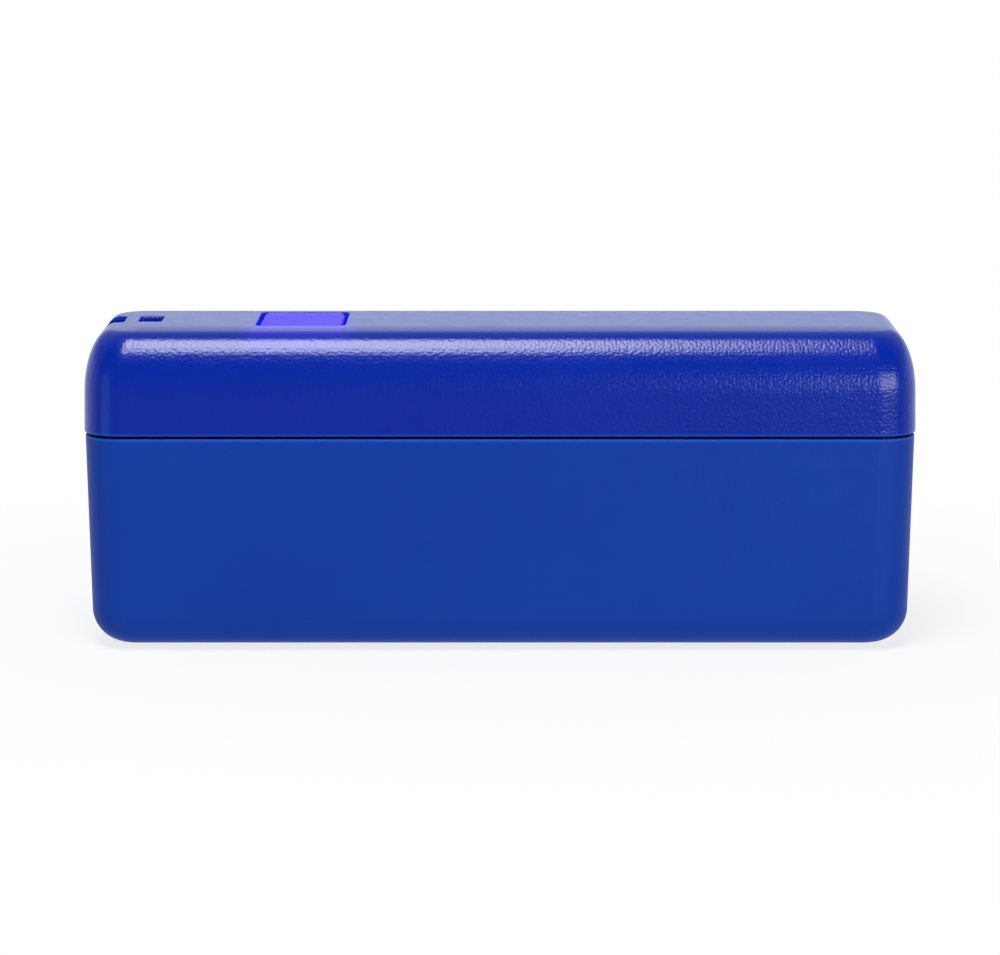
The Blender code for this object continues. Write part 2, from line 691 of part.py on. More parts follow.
def jacks(body_look, metal_look):
    """Two 6.35 mm jacks: a moulded body with lugs and a bushing, a washer and a nut."""
    half_x, half_z = JACK_BODY[0] / 2, JACK_BODY[1] / 2
    washer_back = PANEL_FACE + CLEAR
    nut_back = washer_back + WASHER_THICKNESS + CLEAR
    hole = BUSHING_RADIUS + CLEAR
    for name, x in zip(("input", "thru"), JACK_XS):
        body = boxes(f"{name}_jack", [((x - half_x, JACK_END, SOCKET_Z - half_z),
                                       (x + half_x, PANEL_BACK - CLEAR, SOCKET_Z + half_z))],
                     body_look, round_axis=Y, radius=1.2, steps=2)
        fuse(body, cylinders(f"{name}_bushing", [(x, BUSHING_SPAN[0], SOCKET_Z)], Y,
                             BUSHING_SPAN[1] - BUSHING_SPAN[0], BUSHING_RADIUS))
        fuse(body, boxes(f"{name}_lugs", [
            ((x + across - 1.0, JACK_END - LUG_LENGTH, SOCKET_Z - 0.3),
             (x + across + 1.0, JACK_END + 0.5, SOCKET_Z + 0.3)) for across in LUG_XS]))
        cut(body, cylinders(f"{name}_bore", [(x, JACK_END + 1.2, SOCKET_Z)], Y, 30,
                            JACK_BORE_RADIUS, segments=24))
        outer = NUT_RADIUS + 0.2
        turned(f"{name}_washer", [(hole, WASHER_THICKNESS), (outer, WASHER_THICKNESS), (outer, 0),
                                  (hole, 0)], [(x, washer_back, SOCKET_Z)], metal_look, axis=Y,
               steps=24)
        nut = cylinders(f"{name}_nut", [(x, nut_back, SOCKET_Z)], Y, NUT_HEIGHT, NUT_RADIUS,
                        metal_look, segments=6)
        cut(nut, cylinders(f"{name}_nut_hole", [(x, nut_back - 1, SOCKET_Z)], Y, 4, hole))


def xlr_output(shell_look, insert_look, pin_look, screw_look):
    """A three-pin panel socket: flange and barrel, insulating insert, pins, two screws."""
    flange_back = PANEL_FACE + CLEAR
    flange_front = flange_back + XLR_FLANGE_THICKNESS
    half_x, half_z = XLR_FLANGE[0] / 2, XLR_FLANGE[1] / 2
    shell = boxes("xlr_shell", [((XLR_X - half_x, flange_back, SOCKET_Z - half_z),
                                 (XLR_X + half_x, flange_front, SOCKET_Z + half_z))], shell_look,
                  round_axis=Y, radius=2.5)
    fuse(shell, cylinders("xlr_barrel", [(XLR_X, XLR_BACK, SOCKET_Z)], Y,
                          flange_back + 0.5 - XLR_BACK, XLR_BARREL_RADIUS, segments=32))
    cut(shell, cylinders("xlr_cavity", [(XLR_X, XLR_BACK - 1, SOCKET_Z)], Y, 26,
                         XLR_CAVITY_RADIUS, segments=32))
    cut(shell, cylinders("flange_holes", xlr_screw_places(flange_back - 1), Y, 4, PILOT_RADIUS,
                         segments=12))
    insert = cylinders("xlr_insert", [(XLR_X, XLR_BACK, SOCKET_Z)], Y, XLR_INSERT_DEPTH,
                       XLR_CAVITY_RADIUS - CLEAR, insert_look, segments=32)
    cut(insert, cylinders("pin_holes", pin_places(XLR_BACK - 1), Y, 10, XLR_PIN_RADIUS + CLEAR,
                          segments=12))
    pin_tip = XLR_BACK + XLR_INSERT_DEPTH + XLR_PIN_PROUD
    turned("xlr_pin", [(0, pin_tip), (0.7, pin_tip - 0.2), (XLR_PIN_RADIUS, pin_tip - 1.0),
                       (XLR_PIN_RADIUS, XLR_CUP_END), (0, XLR_CUP_END)],
           pin_places(0), pin_look, axis=Y, steps=12)
    turned("xlr_screw", [(0, 1.5), (1.6, 1.5), (2.5, 0.7), (2.5, 0), (SHANK_RADIUS, 0),
                         (SHANK_RADIUS, -7.0), (0, -8.0)],
           xlr_screw_places(flange_front + CLEAR), screw_look, axis=Y, steps=16)


def pin_places(y):
    places = []
    for angle in XLR_PIN_ANGLES:
        turn = math.radians(angle)
        places.append((XLR_X + XLR_PIN_CIRCLE * math.cos(turn), y,
                       SOCKET_Z + XLR_PIN_CIRCLE * math.sin(turn)))
    return places


# ---------------------------------------------------------------- slide switches

def slide_switch(name, x, body_look, slider_look):
    """A switch body behind the back wall, and its slider at the low end of its travel."""
    half_x, half_z = SWITCH_BODY[0] / 2, SWITCH_BODY[1] / 2
    back, front = SWITCH_SPAN_Y
    body = boxes(f"{name}_switch", [((x - half_x, back, SOCKET_Z - half_z),
                                     (x + half_x, front, SOCKET_Z + half_z))], body_look,
                 round_axis=Y, radius=0.5, steps=1)
    channel_x = (SLIDER[0] + SWITCH_TRAVEL) / 2 + CLEAR
    channel_z = SLIDER[1] / 2 + CLEAR
    cut(body, boxes(f"{name}_channel", [((x - channel_x, SLIDER_SPAN_Y[0] - CLEAR,
                                          SOCKET_Z - channel_z),
                                         (x + channel_x, front + 1, SOCKET_Z + channel_z))]))
    middle = x - SWITCH_TRAVEL / 2
    slider = boxes(f"{name}_slider", [((middle - SLIDER[0] / 2, SLIDER_SPAN_Y[0],
                                        SOCKET_Z - SLIDER[1] / 2),
                                       (middle + SLIDER[0] / 2, SLIDER_SPAN_Y[1],
                                        SOCKET_Z + SLIDER[1] / 2))], slider_look)
    tip = SLIDER_SPAN_Y[1]
    cut(slider, boxes(f"{name}_grooves", [((middle + across - 0.25, tip - 0.5, SOCKET_Z - 4),
                                           (middle + across + 0.25, tip + 1, SOCKET_Z + 4))
                                          for across in GRIP_XS]))


# ---------------------------------------------------------------- battery and its door

def battery(case_look, snap_look):
    low = Vector(BATTERY_LOW)
    high = low + Vector(BATTERY_SIZE)
    cell = boxes("battery", [(low, high)], case_look, round_axis=X, radius=1.6)
    middle_z = (low.z + high.z) / 2
    fuse(cell, cylinders("battery_studs", [(high.x - 1, 0, middle_z + side * STUD_SPACING / 2)
                                           for side in (-1, 1)],
                         X, 1 + STUD_HEIGHT, STUD_RADIUS, segments=12))
    snap_x = high.x + STUD_HEIGHT + CLEAR
    boxes("battery_snap", [((snap_x, -6.0, middle_z - 12.0),
                            (snap_x + SNAP_THICKNESS, 6.0, middle_z + 12.0))],
          snap_look, round_axis=X, radius=2.0)


def battery_door(look, foam_look):
    """The door turns down on two pins at its left end."""
    end_x = BAY_X[1] - CLEAR
    door = boxes("battery_door", [column((HINGE_X, end_x), (-DOOR_HALF_Y, DOOR_HALF_Y), BOTTOM,
                                         BOTTOM + DOOR_THICKNESS)], look)
    fuse(door, cylinders("door_barrel", [(HINGE_X, -DOOR_HALF_Y, HINGE_Z)], Y, 2 * DOOR_HALF_Y,
                         HINGE_RADIUS, segments=24))
    fuse(door, cylinders("door_pins", [(HINGE_X, -HINGE_PIN_REACH, HINGE_Z)], Y,
                         2 * HINGE_PIN_REACH, HINGE_PIN_RADIUS, segments=12))
    fuse(door, boxes("door_latch", [((end_x - 1.2, -3.0, BOTTOM + 1), (end_x, 3.0, BOTTOM + 5.5))]))
    foam_low = BOTTOM + DOOR_THICKNESS + CLEAR
    boxes("battery_foam", [column((BATTERY_LOW[0] + 4, -12.0), (-7.0, 7.0), foam_low,
                                  BATTERY_LOW[2] - CLEAR)], foam_look)


# ---------------------------------------------------------------- wiring

def wiring(look):
    """Short ribbon cables, each held at both ends, from the sockets, switches and battery."""
    lug_z = SOCKET_Z + 0.3 + CLEAR
    for name, x in zip(("input", "thru"), JACK_XS):
        ribbon(f"{name}_ribbon", x, 10.5, [(JACK_END - 2.2, lug_z), (JACK_END - 3.4, SOCKET_Z + 9),
                                           (JACK_END - 1.6, SOCKET_Z + 16),
                                           (JACK_END - 2.4, UNDER_BOARD)], look)
    ribbon("output_ribbon", OUTPUT_LEAD_X, 5.0, [(XLR_CUP_END - CLEAR, SOCKET_Z),
                                                 (-10.5, SOCKET_Z + 2.5), (-11.6, SOCKET_Z + 8),
                                                 (HEADER_Y, LEAD_TOP)], look)
    snap_end = BATTERY_LOW[X] + BATTERY_SIZE[X] + STUD_HEIGHT + CLEAR + SNAP_THICKNESS
    lead("battery_lead", [(snap_end + CLEAR, 0, LEAD_HOLE_Z), (BAY_X[1] + 0.4, 0, LEAD_HOLE_Z),
                          (BATTERY_LEAD_X, 0.4, BAY_CEILING - 1.5),
                          (BATTERY_LEAD_X, 1.0, LEAD_TOP)], 0.9, look)
    for name, x in (("pad", PAD_X), ("ground_lift", LIFT_X)):
        start = SOCKET_Z + SWITCH_BODY[1] / 2 + CLEAR
        ribbon(f"{name}_ribbon", x, 6.0, [(14.2, start), (15.4, start + 7), (14.2, start + 13),
                                          (13.2, UNDER_BOARD)], look)


# ---------------------------------------------------------------- the whole box

def build():
    blue = material("blue_shell", BLUE_SHELL, 0.45)
    violet = material("violet_cap", VIOLET_CAP, 0.35)
    black = material("black_plastic", BLACK_PLASTIC, 0.5)
    grey = material("grey_plastic", GREY_PLASTIC, 0.5)
    white = material("white_plastic", WHITE_PLASTIC, 0.4)
    red = material("red_plastic", RED_PLASTIC, 0.4)
    nickel = material("nickel", NICKEL, 0.3, 1.0)
    steel = material("steel", STEEL, 0.35, 1.0)
    brass = material("brass", BRASS, 0.3, 1.0)
    copper = material("copper", COPPER, 0.35, 1.0)
    green = material("board_green", BOARD_GREEN, 0.4)
    rubber = material("rubber", RUBBER_BLACK, 0.8)
    foam = material("foam", FOAM_GREY, 0.95)

    upper_shell(blue)
    lower_shell(blue)
    strap_pocket(blue)
    power_button(violet)
    tact_switch(black, grey)
    button_lamps(white)
    main_board(green)
    turned("board_screw", screw_profile(7.0), corners(POST_X, POST_Y, UNDER_BOARD), steel, steps=16)
    turned("case_screw", screw_profile(16.0), corners(BOSS_X, BOSS_Y, SCREW_SEAT - CLEAR), steel,
           steps=16)
    foot_top = BOTTOM + FOOT_RECESS - CLEAR
    turned("rubber_foot", [(0, foot_top), (FOOT_RADIUS, foot_top), (FOOT_RADIUS, 0.4),
                           (FOOT_RADIUS - 0.4, 0), (0, 0)], corners(FOOT_X, FOOT_Y, 0), rubber,
           steps=24)
    transformer(steel, black, copper)
    board_parts(nickel, red, black, white)
    jacks(black, nickel)
    xlr_output(nickel, black, brass, steel)
    slide_switch("pad", PAD_X, grey, black)
    slide_switch("ground_lift", LIFT_X, grey, black)
    battery(grey, black)
    battery_door(blue, foam)
    wiring(grey)


for old in list(bpy.data.objects):
    bpy.data.objects.remove(old, do_unlink=True)
parts = make_collection("direct_injection_box")
cutters = make_collection("cutters")
build()
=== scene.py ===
"""The looks of a slim blue two-shell direct injection box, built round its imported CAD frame."""

import json
import math

import bmesh
import bpy
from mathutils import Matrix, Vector

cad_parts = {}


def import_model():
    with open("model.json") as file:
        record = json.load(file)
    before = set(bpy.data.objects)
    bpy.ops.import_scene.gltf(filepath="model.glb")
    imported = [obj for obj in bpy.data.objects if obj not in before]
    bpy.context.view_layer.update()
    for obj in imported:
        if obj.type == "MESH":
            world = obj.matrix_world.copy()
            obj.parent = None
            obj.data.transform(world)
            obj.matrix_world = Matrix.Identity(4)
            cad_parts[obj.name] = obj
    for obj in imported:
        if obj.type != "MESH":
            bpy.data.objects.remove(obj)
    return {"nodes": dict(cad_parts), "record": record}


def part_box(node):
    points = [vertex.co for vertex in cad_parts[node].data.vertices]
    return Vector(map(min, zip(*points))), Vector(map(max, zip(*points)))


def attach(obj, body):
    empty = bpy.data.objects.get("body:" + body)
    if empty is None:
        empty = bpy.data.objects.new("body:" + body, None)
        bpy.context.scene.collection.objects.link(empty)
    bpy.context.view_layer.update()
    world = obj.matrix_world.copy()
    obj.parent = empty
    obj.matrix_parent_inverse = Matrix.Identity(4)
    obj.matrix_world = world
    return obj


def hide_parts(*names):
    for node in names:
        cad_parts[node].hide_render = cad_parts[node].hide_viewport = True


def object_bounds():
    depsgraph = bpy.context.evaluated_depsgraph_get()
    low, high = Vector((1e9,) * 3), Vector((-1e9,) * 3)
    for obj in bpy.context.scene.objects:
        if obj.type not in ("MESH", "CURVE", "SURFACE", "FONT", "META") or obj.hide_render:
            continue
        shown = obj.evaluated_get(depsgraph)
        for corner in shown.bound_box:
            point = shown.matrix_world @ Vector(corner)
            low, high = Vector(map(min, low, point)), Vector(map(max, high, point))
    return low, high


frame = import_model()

cad_low, cad_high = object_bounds()

MM = 0.001
X, Y, Z = 0, 1, 2
CLEAR = 0.3

# The case, in millimetres, as in the CAD source; the outer sizes come from the frame.
WIDTH = round((cad_high.x - cad_low.x) / MM, 1)
DEPTH = round((cad_high.y - cad_low.y) / MM, 1)
TOP = round(cad_high.z / MM, 1)
BOTTOM = 0.6
SEAM = TOP - 20.0
WALL = 2.4
CEILING = TOP - WALL
FLOOR_TOP = BOTTOM + WALL
DRAFT = math.tan(math.radians(1.0))
PLAN_CORNER = 7.9
LID_EDGE_X, LID_EDGE_Y, LID_EDGE_Z = 5.1, 6.2, 12.4
LID_EDGE_START = TOP - LID_EDGE_Z
LID_LEAD = (LID_EDGE_START - SEAM) * DRAFT
LID_CORNER_LOSS = 2.8
BODY_EDGE = 6.9
BODY_CORNER_LOSS = 5.9
LID_OVERHANG = 0.2
SEAM_GAP = 0.5
SEAM_ROUND = 0.25
TONGUE_INSET = 1.25
TONGUE_HEIGHT = 1.8
CORNER_STEPS = 14
EDGE_STEPS = 20
HOLE_ROUND = 0.35
ARC_STEPS = 5
FLARE_STEPS = 4
FLARE_END = math.radians(76)
SHARP = math.radians(30.0)
BEVEL_FROM = math.radians(35.0)

# The lid's top rolls into its round edge towards the front, over less of its length at the right.
CROWN_SLOPE = 0.09
CROWN_WIDTH = (8.0, 7.0)
CROWN_DROP = CROWN_SLOPE * CROWN_WIDTH[1] / 2
CROWN_END_Y = 10.0
CROWN_CORNER_LOSS = 3.5
CROWN_STEPS = 8
CROWN_ANGLE = math.atan2(LID_EDGE_Z - CROWN_DROP, LID_EDGE_Y * CROWN_SLOPE)
CROWN_SHARE = 1 - math.cos(CROWN_ANGLE)
RIGHT_SQUARER = 0.45

BUTTON_HOLE = (17.4, 20.4)
BUTTON_CAP = (15.7, 19.7)
BUTTON_FLANGE = (19.2, 22.2)
BUTTON_CORNER = 1.6
COLLAR_WALL = 1.2
COLLAR_BOTTOM = TOP - 6.4
FLANGE_SPAN = (TOP - 8.3, TOP - 7.1)
CAP_WALL = 1.4
CAP_CORNER = 2.3
CAP_EDGE = 0.45
CAP_CEILING = TOP - 1.8
CAP_FACE_INSET = 2.0
CAP_FACE_CORNER = 1.4
CAP_INSIDE_CORNER = 0.8

INNER_SLOT_X = (-70.6, -66.1)
OUTER_SLOT_X = (-77.0, -73.4)
SLOT_Y = (-2.0, 5.9)
SLOT_CORNER = 0.6
SLOT_BOTTOM = TOP - 8

BOSS_X, BOSS_Y = 70.2, 10.8
LID_BOSS_RADIUS = 3.2
BODY_BOSS_RADIUS = 3.6
SCREW_SEAT = SEAM - 8.0
HEAD_RADIUS = 2.3
HEAD_HEIGHT = 1.8
SHANK_RADIUS = 1.2
PILOT_RADIUS = SHANK_RADIUS + CLEAR
CASE_PILOT_DEPTH = 10.3
BOARD_PILOT_DEPTH = 6.3
FOOT_X, FOOT_Y = 64.8, 6.5
FOOT_RADIUS = 3.4
FOOT_RECESS = 0.8
POST_X, POST_Y = 55.5, 10.5
POST_RADIUS = 2.6
BOARD_TOP = 48.2

BAY_X = (-57.8, -3.2)
BAY_HALF_Y = 9.25
BAY_CEILING = 31.4
BAY_WALL = 1.2
HINGE_RADIUS = 1.1
DOOR_HALF_Y = 8.95
DOOR_THICKNESS = 2.2
RECESS_X = (1.5, 68.5)
RECESS_Z = (8.0, 40.0)
RECESS_CORNER = 3.0
RECESS_WALL = 2.2
PANEL_FACE = 15.9
PANEL_BACK = PANEL_FACE - 2.2
JACK_BORE_RADIUS = 3.25
JACK_BODY_BACK = -10.5
BUSHING_RADIUS = 4.7
NUT_RADIUS = 6.9
LUG_XS = (-4.5, 0.0, 4.5)
XLR_FLANGE_SCREW = (9.8, 12.2)
XLR_HEAD_RADIUS = 2.5
XLR_HEAD_HEIGHT = 1.5
XLR_BARREL_RADIUS = 11.3
XLR_CAVITY_RADIUS = 8.3
XLR_PIN_RADIUS = 1.2
SWITCH_WINDOW = (8.5, 4.5)
STUD_HEIGHT = 1.7
STUD_OUT = 6.35

# Blue plastic: a painted highlight that pales it along the rounded edges at the seam, and painted
# shade that darkens it beside the seam, both measured from the seam, and the painted shade's
# colour in the gap.
EDGE_HIGHLIGHT_SPAN = (0.55, 0.90)
SEAM_SHADOW = (0.27, 0.32)
SEAM_SHADE_COLOUR = (0.0012, 0.0004, 0.020)
# Painted light in the lid's finish: the lit button's glow painted on the lid and on its hole's
# walls, and painted light on the strap slots' walls. The one on the lid fades past the hole's
# sides, towards the front and at the hole's near edge.
HALO_SIDE = (-1.0, 3.5)
HALO_FRONT = (-20.5, -11.0)
HALO_BACK = (-10.6, -9.0)
HALO_GLOW = (0.035, 0.004, 0.34)
HOLE_GLOW = (0.003, 0.005, 0.43)
SLOT_PAINTED_LIGHT = (0.0, 0.005, 0.13)

body_of = {node: body for body, nodes in frame["record"]["behaviour"]["bodies"].items()
           for node in nodes}


# ---------------------------------------------------------------- camera and light

LENS = 125.7
CAMERA_DISTANCE = 0.6871
CAMERA_ELEVATION = math.radians(10.0)
BELOW_SEAM = 11.2
CAMERA_TARGET = Vector((0, 0, (SEAM - BELOW_SEAM) * MM))


def aimed(made, place, target):
    bpy.context.scene.collection.objects.link(made)
    made.location = place
    made.rotation_euler = (Vector(target) - Vector(place)).to_track_quat("-Z", "Y").to_euler()
    return made


def camera():
    data = bpy.data.cameras.new("camera")
    data.lens = LENS
    data.sensor_width = 36.0
    data.clip_end = 60.0
    back = Vector((0, -math.cos(CAMERA_ELEVATION), math.sin(CAMERA_ELEVATION)))
    bpy.context.scene.camera = aimed(bpy.data.objects.new("camera", data),
                                     CAMERA_TARGET + back * CAMERA_DISTANCE, CAMERA_TARGET)


WHITE = (1, 1, 1)
CYAN = (0.35, 0.80, 1.0)
# Each light's name, place, aim and size in metres, radiance and colour.
SOFTBOXES = (
    ("overhead_softbox", (-0.085, -0.316, 0.702), (-0.085, 0, 0.055), (0.27, 0.435), 12.0, WHITE),
    ("overhead_edge", (0.080, -0.316, 0.702), (0.080, 0, 0.055), (0.06, 0.435), 5.0, WHITE),
    ("right_softbox", (0.586, -0.757, 0.162), (0.07, -0.02, 0.055), (0.86, 0.225), 5.3, WHITE),
    ("left_softbox", (-0.66, -0.45, 0.02), (-0.07, -0.02, 0.055), (0.34, 0.46), 0.7, CYAN),
)
# The sky's brightness at heights from straight down to straight up, and its tint.
SKY_TONES = ((-1.0, 0.50), (-0.26, 0.60), (-0.16, 0.95), (0.18, 0.95), (0.31, 0.43), (1.0, 0.42))
SKY_TINT = (0.86, 0.94, 1.16)
SKY_IN_FRONT = 0.05
FLOOR_RADIUS = 5.0
SHADOW_REACH = (0.05, 0.20)
SHADOW_LIFT = 0.78


def lights():
    for name, place, target, size, radiance, colour in SOFTBOXES:
        data = bpy.data.lights.new(name, "AREA")
        data.shape = "RECTANGLE"
        data.size, data.size_y = size
        data.energy = radiance * math.pi * size[0] * size[1]
        data.color = colour
        aimed(bpy.data.objects.new(name, data), place, target).visible_camera = False


def add(tree, kind, inputs=(), **settings):
    """A node, with each of its inputs set to a value or linked to another node's output."""
    made = tree.nodes.new(kind)
    for key, value in settings.items():
        setattr(made, key, value)
    for key, value in dict(inputs).items():
        if isinstance(value, bpy.types.NodeSocket):
            tree.links.new(value, made.inputs[key])
        else:
            made.inputs[key].default_value = value
    return made


def emptied(made):
    """The node tree of a new world or material, with nothing in it."""
    made.use_nodes = True
    made.node_tree.nodes.clear()
    return made.node_tree


def world():
    """White to the camera; to the box, a pale sky that is brighter low down and at the back."""
    made = bpy.data.worlds.new("studio")
    bpy.context.scene.world = made
    tree = emptied(made)
    where = add(tree, "ShaderNodeTexCoord").outputs["Generated"]
    way = add(tree, "ShaderNodeSeparateXYZ", {"Vector": where}).outputs
    share = add(tree, "ShaderNodeMapRange", {"Value": way["Z"], "From Min": -1.0})
    tone = add(tree, "ShaderNodeValToRGB", {"Fac": share.outputs["Result"]})
    tone.color_ramp.interpolation = "EASE"
    held = tone.color_ramp.elements
    while len(held) < len(SKY_TONES):
        held.new(0.5)
    for element, (height, value) in zip(held, SKY_TONES):
        element.position = (height + 1) / 2
        element.color = (*(part * value for part in SKY_TINT), 1)
    back = add(tree, "ShaderNodeMapRange", {
        "Value": way["Y"], "From Min": -0.30, "From Max": 0.50, "To Min": SKY_IN_FRONT})
    around = add(tree, "ShaderNodeBackground", {
        "Color": tone.outputs["Color"], "Strength": back.outputs["Result"]})
    seen = add(tree, "ShaderNodeBackground", {"Color": (*WHITE, 1)})
    camera_ray = add(tree, "ShaderNodeLightPath").outputs["Is Camera Ray"]
    mix = add(tree, "ShaderNodeMixShader", {
        0: camera_ray, 1: around.outputs[0], 2: seen.outputs[0]})
    add(tree, "ShaderNodeOutputWorld", {"Surface": mix.outputs[0]})


def stage():
    """A floor that takes the shadow near the box, glows further out and is clear from below."""
    bm = bmesh.new()
    bmesh.ops.create_circle(bm, cap_ends=True, segments=96, radius=FLOOR_RADIUS)
    floor = linked("floor", to_mesh(bm, "floor"))
    made = bpy.data.materials.new("pale_floor")
    tree = emptied(made)
    where = add(tree, "ShaderNodeTexCoord").outputs["Object"]
    away = add(tree, "ShaderNodeVectorMath", {0: where}, operation="LENGTH").outputs["Value"]
    fade = add(tree, "ShaderNodeMapRange", {
        "Value": away, "From Min": SHADOW_REACH[0], "From Max": SHADOW_REACH[1],
        "To Min": SHADOW_LIFT}, interpolation_type="SMOOTHSTEP").outputs["Result"]
    paper = add(tree, "ShaderNodeBsdfDiffuse", {"Color": (0.93, 0.93, 0.93, 1)})
    glow = add(tree, "ShaderNodeEmission", {"Color": (*WHITE, 1), "Strength": 1.0})
    mix = add(tree, "ShaderNodeMixShader", {0: fade, 1: paper.outputs[0], 2: glow.outputs[0]})
    below = add(tree, "ShaderNodeNewGeometry").outputs["Backfacing"]
    clear = add(tree, "ShaderNodeBsdfTransparent")
    seen = add(tree, "ShaderNodeMixShader", {0: below, 1: mix.outputs[0], 2: clear.outputs[0]})
    add(tree, "ShaderNodeOutputMaterial", {"Surface": seen.outputs[0]})
    floor.data.materials.append(made)
    floor.visible_glossy = False


# ---------------------------------------------------------------- mesh helpers

def to_mesh(bm, name):
    bmesh.ops.recalc_face_normals(bm, faces=bm.faces)
    mesh = bpy.data.meshes.new(name)
    bm.to_mesh(mesh)
    bm.free()
    shade(mesh)
    return mesh


def shade(mesh):
    mesh.shade_smooth()
    mesh.set_sharp_from_angle(angle=SHARP)


def linked(name, mesh):
    made = bpy.data.objects.new(name, mesh)
    bpy.context.scene.collection.objects.link(made)
    return made


def along(axis, u, v, w):
    """A point from two sideways lengths and one along the axis."""
    return {X: (w, u, v), Y: (u, w, v), Z: (u, v, w)}[axis]


def rounded(size, corner, steps=6, centre=(0.0, 0.0)):
    """Points round a rectangle with round corners."""
    points = []
    for index, (side_u, side_v) in enumerate(((1, 1), (-1, 1), (-1, -1), (1, -1))):
        for step in range(steps + 1):
            angle = (index + step / steps) * math.pi / 2
            points.append((centre[0] + side_u * (size[0] / 2 - corner) + corner * math.cos(angle),
                           centre[1] + side_v * (size[1] / 2 - corner) + corner * math.sin(angle)))
    return points


def circle(radius, count=32, centre=(0.0, 0.0)):
    return [(centre[0] + radius * math.cos(2 * math.pi * i / count),
             centre[1] + radius * math.sin(2 * math.pi * i / count)) for i in range(count)]


def stack(name, rings, closed=False):
    """A solid through rings of points in millimetres. It is capped, or closed on itself."""
    bm = bmesh.new()
    held = [[bm.verts.new(Vector(point) * MM) for point in ring] for ring in rings]
    pairs = list(zip(held, held[1:])) + ([(held[-1], held[0])] if closed else [])
    for ring, following in pairs:
        count = len(ring)
        for i in range(count):
            bm.faces.new((ring[i], ring[(i + 1) % count], following[(i + 1) % count],
                          following[i]))
    if not closed:
        bm.faces.new(held[0])
        bm.faces.new(held[-1])
    return linked(name, to_mesh(bm, name))


def prism(name, outline, low, high, axis=Z):
    return stack(name, [[along(axis, u, v, w) for u, v in outline] for w in (low, high)])


def box(name, low, high, axis=Z, corner=0.0, steps=4):
    """A box between two corners, with the edges along one axis rounded."""
    u, v = [(Y, Z), (X, Z), (X, Y)][axis]
    size = (high[u] - low[u], high[v] - low[v])
    centre = ((high[u] + low[u]) / 2, (high[v] + low[v]) / 2)
    outline = rounded(size, corner, steps, centre) if corner else [
        (low[u], low[v]), (high[u], low[v]), (high[u], high[v]), (low[u], high[v])]
    return prism(name, outline, low[axis], high[axis], axis)


def rod(name, centre, low, high, radius, axis=Z, count=32):
    return prism(name, circle(radius, count, centre), low, high, axis)


def turned(name, profile, centre, axis=Z, count=32):
    """A turned solid from (radius, height) points that start and end on the axis, or a ring."""
    ring_shaped = profile[0][0] > 0
    rings = []
    for radius, height in profile:
        rings.append([along(axis, u, v, height)
                      for u, v in circle(max(radius, 0.0005), count, centre)])
    return stack(name, rings, closed=ring_shaped)


def arc(centre, radius, first, last):
    """Profile points on an arc between two angles in degrees."""
    angles = [math.radians(first + (last - first) * i / ARC_STEPS) for i in range(ARC_STEPS + 1)]
    return [(centre[0] + radius * math.cos(angle), centre[1] + radius * math.sin(angle))
            for angle in angles]


def flared(name, outline, inner, skin, radius, outward=1, axis=Z):
    """A cutter whose mouth rounds the edge that it leaves in the skin.

    outline(grow) gives its points and skin(u, v) the height of the surface there.
    """
    levels = []
    for step in range(FLARE_STEPS + 1):
        angle = step / FLARE_STEPS * FLARE_END
        levels.append((radius * (1 - math.cos(angle)), -radius * (1 - math.sin(angle))))
    levels.append((levels[-1][0] + 0.12 * radius, 0.03 * radius))
    levels.append((levels[-1][0] + 0.2, 1.0))
    rings = [[along(axis, u, v, inner) for u, v in outline(0.0)]]
    for grow, lift in levels:
        rings.append([along(axis, u, v, skin(u, v) + outward * lift) for u, v in outline(grow)])
    return stack(name, rings)


def mouth(size, corner, centre, steps=6):
    return lambda grow: rounded((size[0] + 2 * grow, size[1] + 2 * grow), corner + grow, steps,
                                centre)


def round_mouth(radius, centre, count=32):
    return lambda grow: circle(radius + grow, count, centre)


def worked(made, tools):
    """Fuse ("+") and cut ("-") tools into a piece, and keep the result as its own mesh."""
    operations = {"+": "UNION", "-": "DIFFERENCE", "&": "INTERSECT"}
    for sign, tool in tools:
        step = made.modifiers.new(tool.name, "BOOLEAN")
        step.operation = operations[sign]
        step.solver = "EXACT"
        step.object = tool
    bpy.context.view_layer.update()
    graph = bpy.context.evaluated_depsgraph_get()
    mesh = bpy.data.meshes.new_from_object(made.evaluated_get(graph))
    made.modifiers.clear()
    made.data = mesh
    for _, tool in tools:
        bpy.data.objects.remove(tool, do_unlink=True)
    shade(mesh)
    return made


def soften(made, width, segments=2):
    """Round every sharper edge by this many millimetres."""
    bevel = made.modifiers.new("edges", "BEVEL")
    bevel.width = width * MM
    bevel.segments = segments
    bevel.limit_method = "ANGLE"
    bevel.angle_limit = BEVEL_FROM
    bevel.harden_normals = True
    return made


def weigh(made):
    """Keep the big flat faces flat where round edges meet them."""
    normals = made.modifiers.new("normals", "WEIGHTED_NORMAL")
    normals.weight = 90
    normals.keep_sharp = True


def dress(made, node, slot):
    """A new piece stands for one CAD node, rides on its body and wears its slot's finish."""
    made.data.materials.clear()
    made.data.materials.append(finishes[slot])
    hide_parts(node)
    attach(made, body_of[node])


def span(node):
    """The two corners of a CAD node's box, in millimetres."""
    return [Vector([round(value / MM, 2) for value in corner]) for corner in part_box(node)]


def middle(node):
    low, high = span(node)
    return (low + high) / 2


def seen_along(axis, node):
    """The middle of a CAD node, as the two coordinates across an axis."""
    return tuple(value for index, value in enumerate(middle(node)) if index != axis)


def corners(x, y):
    return [(side_x * x, side_y * y) for side_x in (-1, 1) for side_y in (-1, 1)]


# ---------------------------------------------------------------- finishes

def metres(*lengths):
    return [length * MM for length in lengths]


